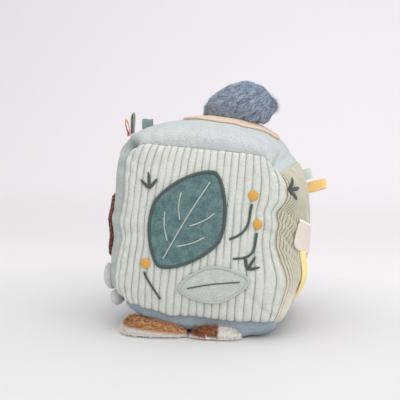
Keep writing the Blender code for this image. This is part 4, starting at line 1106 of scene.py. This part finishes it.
rooted = put(fur_tree, "GeometryNodeJoinGeometry")
made_real = put(fur_tree, "GeometryNodeRealizeInstances", {0: varied.outputs[0]})
fur_tree.links.new(made_real.outputs[0], rooted.inputs[0])
fur_tree.links.new(given["Geometry"], rooted.inputs[0])
dressed = put(fur_tree, "GeometryNodeSetMaterial", {"Geometry": rooted.outputs[0], "Material": given["Finish"]})
fur_tree.links.new(dressed.outputs[0], result.inputs[0])


def furred(name, roots, hair, values, body, node):
    """Grows the fur from its roots, a closed form that stays inside it, as one plain mesh."""
    # The roots' form has no reach, so it wears the root colour: painted shade under the hair.
    roots.data.attributes.new("reach_out", "FLOAT", "POINT")
    piece = grown(name, roots, fur_tree, dict(values, Hair=hair))
    bpy.data.objects.remove(hair)
    return belongs(piece, body, node)


def joint_called(name):
    return next(item for item in frame["joints"] if item["name"] == name)


# The blue fur's dark root colour is painted shade and its near-white tip colour is painted light.
blue_fur = fur("blue_fur", (184, 206, 226), (84, 106, 134), (242, 248, 255),
               comb=(0, math.radians(-26), math.radians(22)))
knot = joint_called("pompom_nod")
knot_place, knot_across = Vector(knot["pos_m"]), Vector(knot["axis"])
knot_back = Vector(joint_called("pompom_rock")["axis"])
knot_up = knot_across.cross(knot_back)
POMPOM_WIDE, POMPOM_DEEP, POMPOM_MIDDLE, POMPOM_LOW = 0.0264, 0.0250, 0.0085, 0.0095


def pompom_core(name, rise, fall, left_share, sharpness):
    """A closed lump on the tie: rounded above to the rise, lower on the left, its rim below its middle.

    A new ball's faces come in another order each run, and hair is scattered in their order, so they are sorted.
    """
    cells = bmesh.new()
    bmesh.ops.create_uvsphere(cells, u_segments=40, v_segments=26, radius=1)
    for corner in cells.verts:
        x, y, z = corner.co
        level, swirl = math.hypot(x, y), math.atan2(y, x)
        reach = (1 - abs(z) ** sharpness) ** (1 / sharpness) if z < 0 else (1 - z ** 2) ** 0.55
        spread = reach / max(level, 1e-6)
        lump = 1 + 0.04 * level * (math.cos(3 * swirl) + math.cos(5 * swirl) * z)
        lefthand = max(-x, 0) ** 2
        tall = rise if z > 0 else (POMPOM_LOW + fall * reach ** 2) * (1 - left_share * lefthand)
        corner.co = (knot_place + knot_across * (POMPOM_WIDE * x * lump * spread + 0.0020 + 0.0050 * z)
                     + knot_back * POMPOM_DEEP * y * lump * spread
                     + knot_up * (POMPOM_MIDDLE - 0.0045 * lefthand + z * tall))
    cells.verts.index_update()
    faces = []
    for face in cells.faces:
        corners = [corner.index for corner in face.verts]
        lowest = corners.index(min(corners))
        faces.append(corners[lowest:] + corners[:lowest])
    data = bpy.data.meshes.new(name)
    data.from_pydata([tuple(corner.co) for corner in cells.verts], [], sorted(faces))
    cells.free()
    data.materials.append(blue_fur)
    data.shade_smooth()
    return add_object(name, data)


pompom_hair = {
    "Density": 3.2e6, "Clump Size": 0.0075, "Clump Lean": 1.5,
    "Comb": (-0.85, -0.35, -0.40), "Stray": 0.30, "Bare Below": -0.6, "Finish": blue_fur}
furred("pompom_fur", pompom_core("pompom_roots", 0.0200, 0.0, 0.6, 2.2),
       hair_shape("blue_hair", 0.0085, 0.00030, 0.75), dict(pompom_hair, Under=0.15, Seed=3),
       "pompom_ball", "pompom")
skirt = furred("pompom_skirt", pompom_core("skirt_roots", 0.0020, 0.0085, 0.35, 3),
               hair_shape("skirt_hair", 0.0075, 0.00030, 0.75), dict(pompom_hair, Under=0.8, Seed=4),
               None, None)
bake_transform(skirt)
belongs(copied("pompom_tie", "pompom_thread_tie", 1, 0.0, pale_thread), "pompom_knot", "pompom_tie")

# Ribbon tags: short lengths of satin ribbon folded in half, with both ends sewn into a seam. Each is stiff
# enough to stand. Three are twisted above the seam. On the orange, teal, yellow and grey tags one side
# is a darker copy of the other, painted shade; on the green tag one side is paler.
ribbon_weave = bpy.data.node_groups.new("ribbon_weave", "ShaderNodeTree")
given, result = with_sockets(ribbon_weave, (
    ("Place", "NodeSocketVector", None), ("Colour", "NodeSocketColor", (1, 1, 1, 1)),
    ("Far Colour", "NodeSocketColor", (1, 1, 1, 1)), ("Side", "NodeSocketFloat", 0.0)), (
    ("Colour", "NodeSocketColor"), ("Height", "NodeSocketFloat")))
threads = put(ribbon_weave, "ShaderNodeTexWave", {
    "Vector": given["Place"], "Scale": 420.0, "Distortion": 0.6, "Detail": 1.0}, wave_type="BANDS",
    bands_direction="Y")
two_sided = mixed(ribbon_weave, given["Side"], given["Colour"], given["Far Colour"])
shadowed = mixed(ribbon_weave, maths(ribbon_weave, "MULTIPLY", threads.outputs["Fac"], 0.22), two_sided,
                 (0.05, 0.04, 0.03, 1))
ribbon_weave.links.new(shadowed, result.inputs["Colour"])
ribbon_weave.links.new(threads.outputs["Fac"], result.inputs["Height"])


def ribbon_cloth(name, colour, far_colour):
    cloth, tree, shader = new_finish(name, {"Roughness": 0.55, "Sheen Weight": 0.2})
    weave = put(tree, "ShaderNodeGroup", {
        "Place": put(tree, "ShaderNodeAttribute", attribute_name="laid").outputs["Vector"],
        "Side": mark_on(tree, "far_side"), "Colour": dyed(*colour), "Far Colour": dyed(*far_colour)},
        node_tree=ribbon_weave)
    surfaced(tree, shader, weave.outputs["Colour"], weave.outputs["Height"], 0.00008, 0.4)
    return cloth


TAG_WIDTH, TAG_SPREAD, TAG_ROOT, RIBBON = 0.010, 0.0010, 0.0007, 0.0005
for tag_name, body, joint, length, twist, slot, colour, far_colour in (
        ("orange_tag", "orange_loop", "orange_tag_bend", 0.0130, 12, "orange_ribbon", (226, 140, 84), (200, 112, 64)),
        ("green_tag", "green_loop", "green_tag_bend", 0.0170, 5, "green_ribbon", (104, 118, 92), (196, 204, 182)),
        ("teal_tag", "teal_loop", "teal_tag_bend", 0.0115, 62, "teal_ribbon", (142, 170, 164), (118, 146, 140)),
        ("yellow_tag", "yellow_loop", "yellow_tag_bend", 0.025, 0, "yellow_ribbon", (250, 220, 158), (240, 198, 120)),
        ("grey_tag", "grey_loop", "grey_tag_bend", 0.0120, 0, "grey_ribbon", (222, 230, 222), (204, 214, 206))):
    pivot = joint_called(joint)
    root, along = np.array(pivot["pos_m"]), np.array(pivot["axis"])
    corners = np.array([corner.co for corner in frame["nodes"][tag_name].data.vertices])
    out = (corners.max(0) + corners.min(0)) / 2 - root
    out -= along * (out @ along)
    out /= np.linalg.norm(out)
    sideways = np.cross(out, along)
    fold = np.linspace(-1, 1, 61)[:, None] + 0 * np.linspace(-1, 1, 13)
    width = np.linspace(-1, 1, 13) + 0 * fold
    aside = TAG_SPREAD * np.sin(math.pi * fold) + TAG_ROOT * fold
    high = length * np.cos(math.pi / 2 * fold) + 0.0004 * np.sin(3 * width + 2 * fold) * np.cos(math.pi / 2 * fold)
    slope_aside = TAG_SPREAD * math.pi * np.cos(math.pi * fold) + TAG_ROOT
    slope_high = -length * math.pi / 2 * np.sin(math.pi / 2 * fold)
    steep = np.hypot(slope_aside, slope_high)
    twisted = math.radians(twist) * np.clip(4 * high / length, 0, 1)
    level, turned_out = np.cos(twisted), np.sin(twisted)
    layers = []
    for inward in (0, RIBBON):
        across_tag, thick = TAG_WIDTH / 2 * width, aside + inward * slope_high / steep
        layers.append(
            root + along * (across_tag * level - thick * turned_out)[..., None]
            + sideways * (across_tag * turned_out + thick * level)[..., None]
            + out * (high - inward * slope_aside / steep)[..., None])
    place = np.stack([fold * length, width * TAG_WIDTH / 2, 0 * fold], -1).reshape(-1, 3)
    loop = mesh_piece(
        tag_name + "_ribbon", np.concatenate([part.reshape(-1, 3) for part in layers]), sheet_faces(*fold.shape),
        ribbon_cloth(tag_name + "_satin", colour, far_colour),
        {"laid": np.concatenate([place, place]), "far_side": np.tile((fold.ravel() > 0) * 1.0, 2)})
    faced_out(loop.data)
    belongs(loop, body, tag_name)

# Curly patch on the left: brown looped yarn, sewn down as a thick cut-out, and two stuffed grey lobes
# that hang below it from a seam.
boucle_yarn = fur("boucle_yarn", (142, 90, 74), (70, 40, 34), (172, 120, 100), 0.2)
CURL_RADIUS, YARN_RADIUS, CURL_STEPS = 0.0010, 0.00034, 8
curl_points, curl_reach = [], []
for step in range(CURL_STEPS + 1):
    turn = math.tau * 0.85 * step / CURL_STEPS
    for corner in range(4):
        around_yarn = math.tau * corner / 4
        radius = CURL_RADIUS + YARN_RADIUS * math.cos(around_yarn)
        curl_points.append((
            radius * math.cos(turn), YARN_RADIUS * math.sin(around_yarn) + 0.0002 * step / CURL_STEPS,
            radius * math.sin(turn) + 0.0002))
        # Each curl's upper half takes the yarn's paler tip colour and its lower half the darker root colour: painted
        # light above, painted shade below.
        curl_reach.append(0.3 + 0.7 * max(math.sin(turn), 0))
curl_data = bpy.data.meshes.new("curl")
curl_data.from_pydata(curl_points, [], tube_faces(CURL_STEPS + 1, 4) + [(3, 2, 1, 0), (32, 33, 34, 35)])
curl_data.attributes.new("reach_out", "FLOAT", "POINT").data.foreach_set("value", curl_reach)
curl = add_object("curl", curl_data)
furred("boucle_curls", laid(
    "boucle_roots", left_skin, (-0.032, -0.006), lambda angle: edge_of(angle, 0.0262, 0.0257, 0, 2.4), 0.0012,
    0.0003, boucle_yarn, 12, 60), curl, {
    "Density": 1.1e6, "Clump Size": 0.006, "Clump Lean": 2.0, "Stray": 1.4,
    "Comb": (0.0, 0.0, -0.2), "Finish": boucle_yarn, "Seed": 9, "Least": 0.8, "Most": 1.25},
    "block", "boucle_patch")
lobe_velour = pile_cloth("lobe_velour", (212, 214, 215), (186, 190, 192), 0.006, 0.0006, 0.6, 0.4)
for node, body in (("tab_upper", "upper_tab"), ("tab_lower", "lower_tab")):
    belongs(copied(node, node + "_lobe", 2, 0.0003, lobe_velour), body, node)

# Right side: a beige velour flap that hangs from its sewn upper edge and lifts, with a row of cream
# stitches along that edge, and a narrow yellow ribbon that stands a little off the panel.
beige_velour = pile_cloth("beige_velour", (230, 221, 210), (212, 202, 190), 0.007, 0.0006, 0.6, 0.35)
FLAP_CENTRE, FLAP_TILT, FLAP_EDGE = (-0.034, 0.001), 13, 0.0118


def right_form(y, z):
    """A place on the right side's form, without its folds, for what bridges them."""
    return band_form(2 + turn_at(-z / HALF_HEIGHT), y / HALF_DEPTH)


belongs(laid("flap_cloth", right_form, FLAP_CENTRE, lambda angle: edge_of(
    angle, 0.0215, 0.0125, -FLAP_TILT, 5.0), 0.0014, 0.0010, beige_velour, plump=0.0003),
        "flap", "beige_flap")
cream_thread = thread_finish("cream_thread", (246, 242, 236), (226, 220, 210))
flap_run = np.linspace(-0.0205, 0.0205, 80)
flap_cosine, flap_sine = math.cos(math.radians(FLAP_TILT)), math.sin(math.radians(FLAP_TILT))
stitched("flap_binding", right_form, [(
    FLAP_CENTRE[0] + FLAP_EDGE * flap_sine + flap_run * flap_cosine,
    FLAP_CENTRE[1] + FLAP_EDGE * flap_cosine - flap_run * flap_sine)],
    0.0022, 0.0023, cream_thread, None)
strip_satin = pile_cloth("yellow_satin", (250, 228, 166), (236, 206, 132), 0.004, 0.0006, 0.6, 0.2)
strip_down, strip_out = np.meshgrid(np.linspace(0, 1, 41), np.linspace(0, 1, 9), indexing="ij")
strip_place, _ = lifted(
    right_form, -0.0475 + 0.0060 * strip_out - 0.001 * strip_down, -0.0085 - 0.0380 * strip_down,
    0.0012 + 0.0032 * strip_out ** 0.8 * np.sin(math.pi * (0.25 + 0.75 * strip_down)) ** 0.5)
belongs(sewn_sheet("yellow_strip_ribbon", strip_place, 0.0009, strip_satin), "block", "yellow_strip")

# Foot pads: two plush flaps half under the block, with long chestnut and russet pile above and a cream
# sole below. Their outer rims turn cream, where the sole's plush comes round.
CREAM = (255, 252, 247)
# Each pile's darker root colour is painted shade and its paler tip colour is painted light.
chestnut_pile = fur("chestnut_pile", (240, 182, 126), (170, 112, 70), (250, 214, 170), 0.3,
                    CREAM, (-0.09, 0, -1), -0.00175)
russet_pile = fur("russet_pile", (190, 120, 84), (108, 62, 42), (216, 160, 122), 0.3,
                  CREAM, (1, 0, 0), 0.0095)
cream_pile = fur("cream_pile", CREAM, (250, 244, 236), (255, 254, 251), 0.6)
for pad, body, colour_pile, seed in (
        ("left_pad", "left_pad", chestnut_pile, 5), ("front_pad", "front_pad", russet_pile, 6)):
    furred(pad + "_fur", copied(pad + "_cover", pad + "_roots", 1, -0.0008, colour_pile),
           hair_shape(pad + "_hair", 0.0036, 0.00034, 0.7), {
        "Density": 3.6e6, "Clump Size": 0.003, "Clump Lean": 1.5,
        "Comb": (0.20, -0.25, 0.0), "Stray": 0.8, "Finish": colour_pile, "Seed": seed},
        body, pad + "_cover")
    furred(pad + "_sole_pile", copied(pad + "_sole", pad + "_sole_roots", 1, -0.0002, cream_pile),
           hair_shape(pad + "_sole_hair", 0.0030, 0.00034, 0.5), {
        "Density": 2.0e6, "Clump Size": 0.003, "Clump Lean": 1.2,
        "Comb": (0.0, -0.3, 0.05), "Stray": 0.8, "Bare Below": -0.6, "Finish": cream_pile, "Seed": seed + 10},
        body, pad + "_sole")

# Inside: polyester filling in two halves round a hollow rattle, whose three beads roll in its foot.
FILLING_GAP = 0.009
filling_white = pile_cloth("filling_fibre", (244, 243, 240), (222, 222, 220), 0.02, 0.001, 0.5, 0.3)
for half in ("filling_front", "filling_back"):
    belongs(copied(half, half + "_fibre", 0, -FILLING_GAP, filling_white), "block", half)


def moulded(name, colour, rough):
    plastic, tree, shader = new_finish(name, {"Roughness": rough})
    grain = put(tree, "ShaderNodeTexNoise", {
        "Vector": own_place(tree), "Scale": 900.0, "Detail": 2.0}).outputs["Fac"]
    surface_colour = mixed(tree, grain, dyed(*colour), dyed(*[part * 0.94 for part in colour]))
    surfaced(tree, shader, surface_colour, grain, 0.00003, 0.3)
    return plastic


shell_plastic = moulded("rattle_shell_plastic", (238, 238, 234), 0.4)
bead_plastic = moulded("bead_plastic", (200, 200, 204), 0.3)
for node, plastic in (("rattle_shell_front", shell_plastic), ("rattle_shell_back", shell_plastic),
                      ("rattle_bead_1", bead_plastic), ("rattle_bead_2", bead_plastic),
                      ("rattle_bead_3", bead_plastic)):
    for slot in frame["nodes"][node].material_slots:
        slot.material = plastic
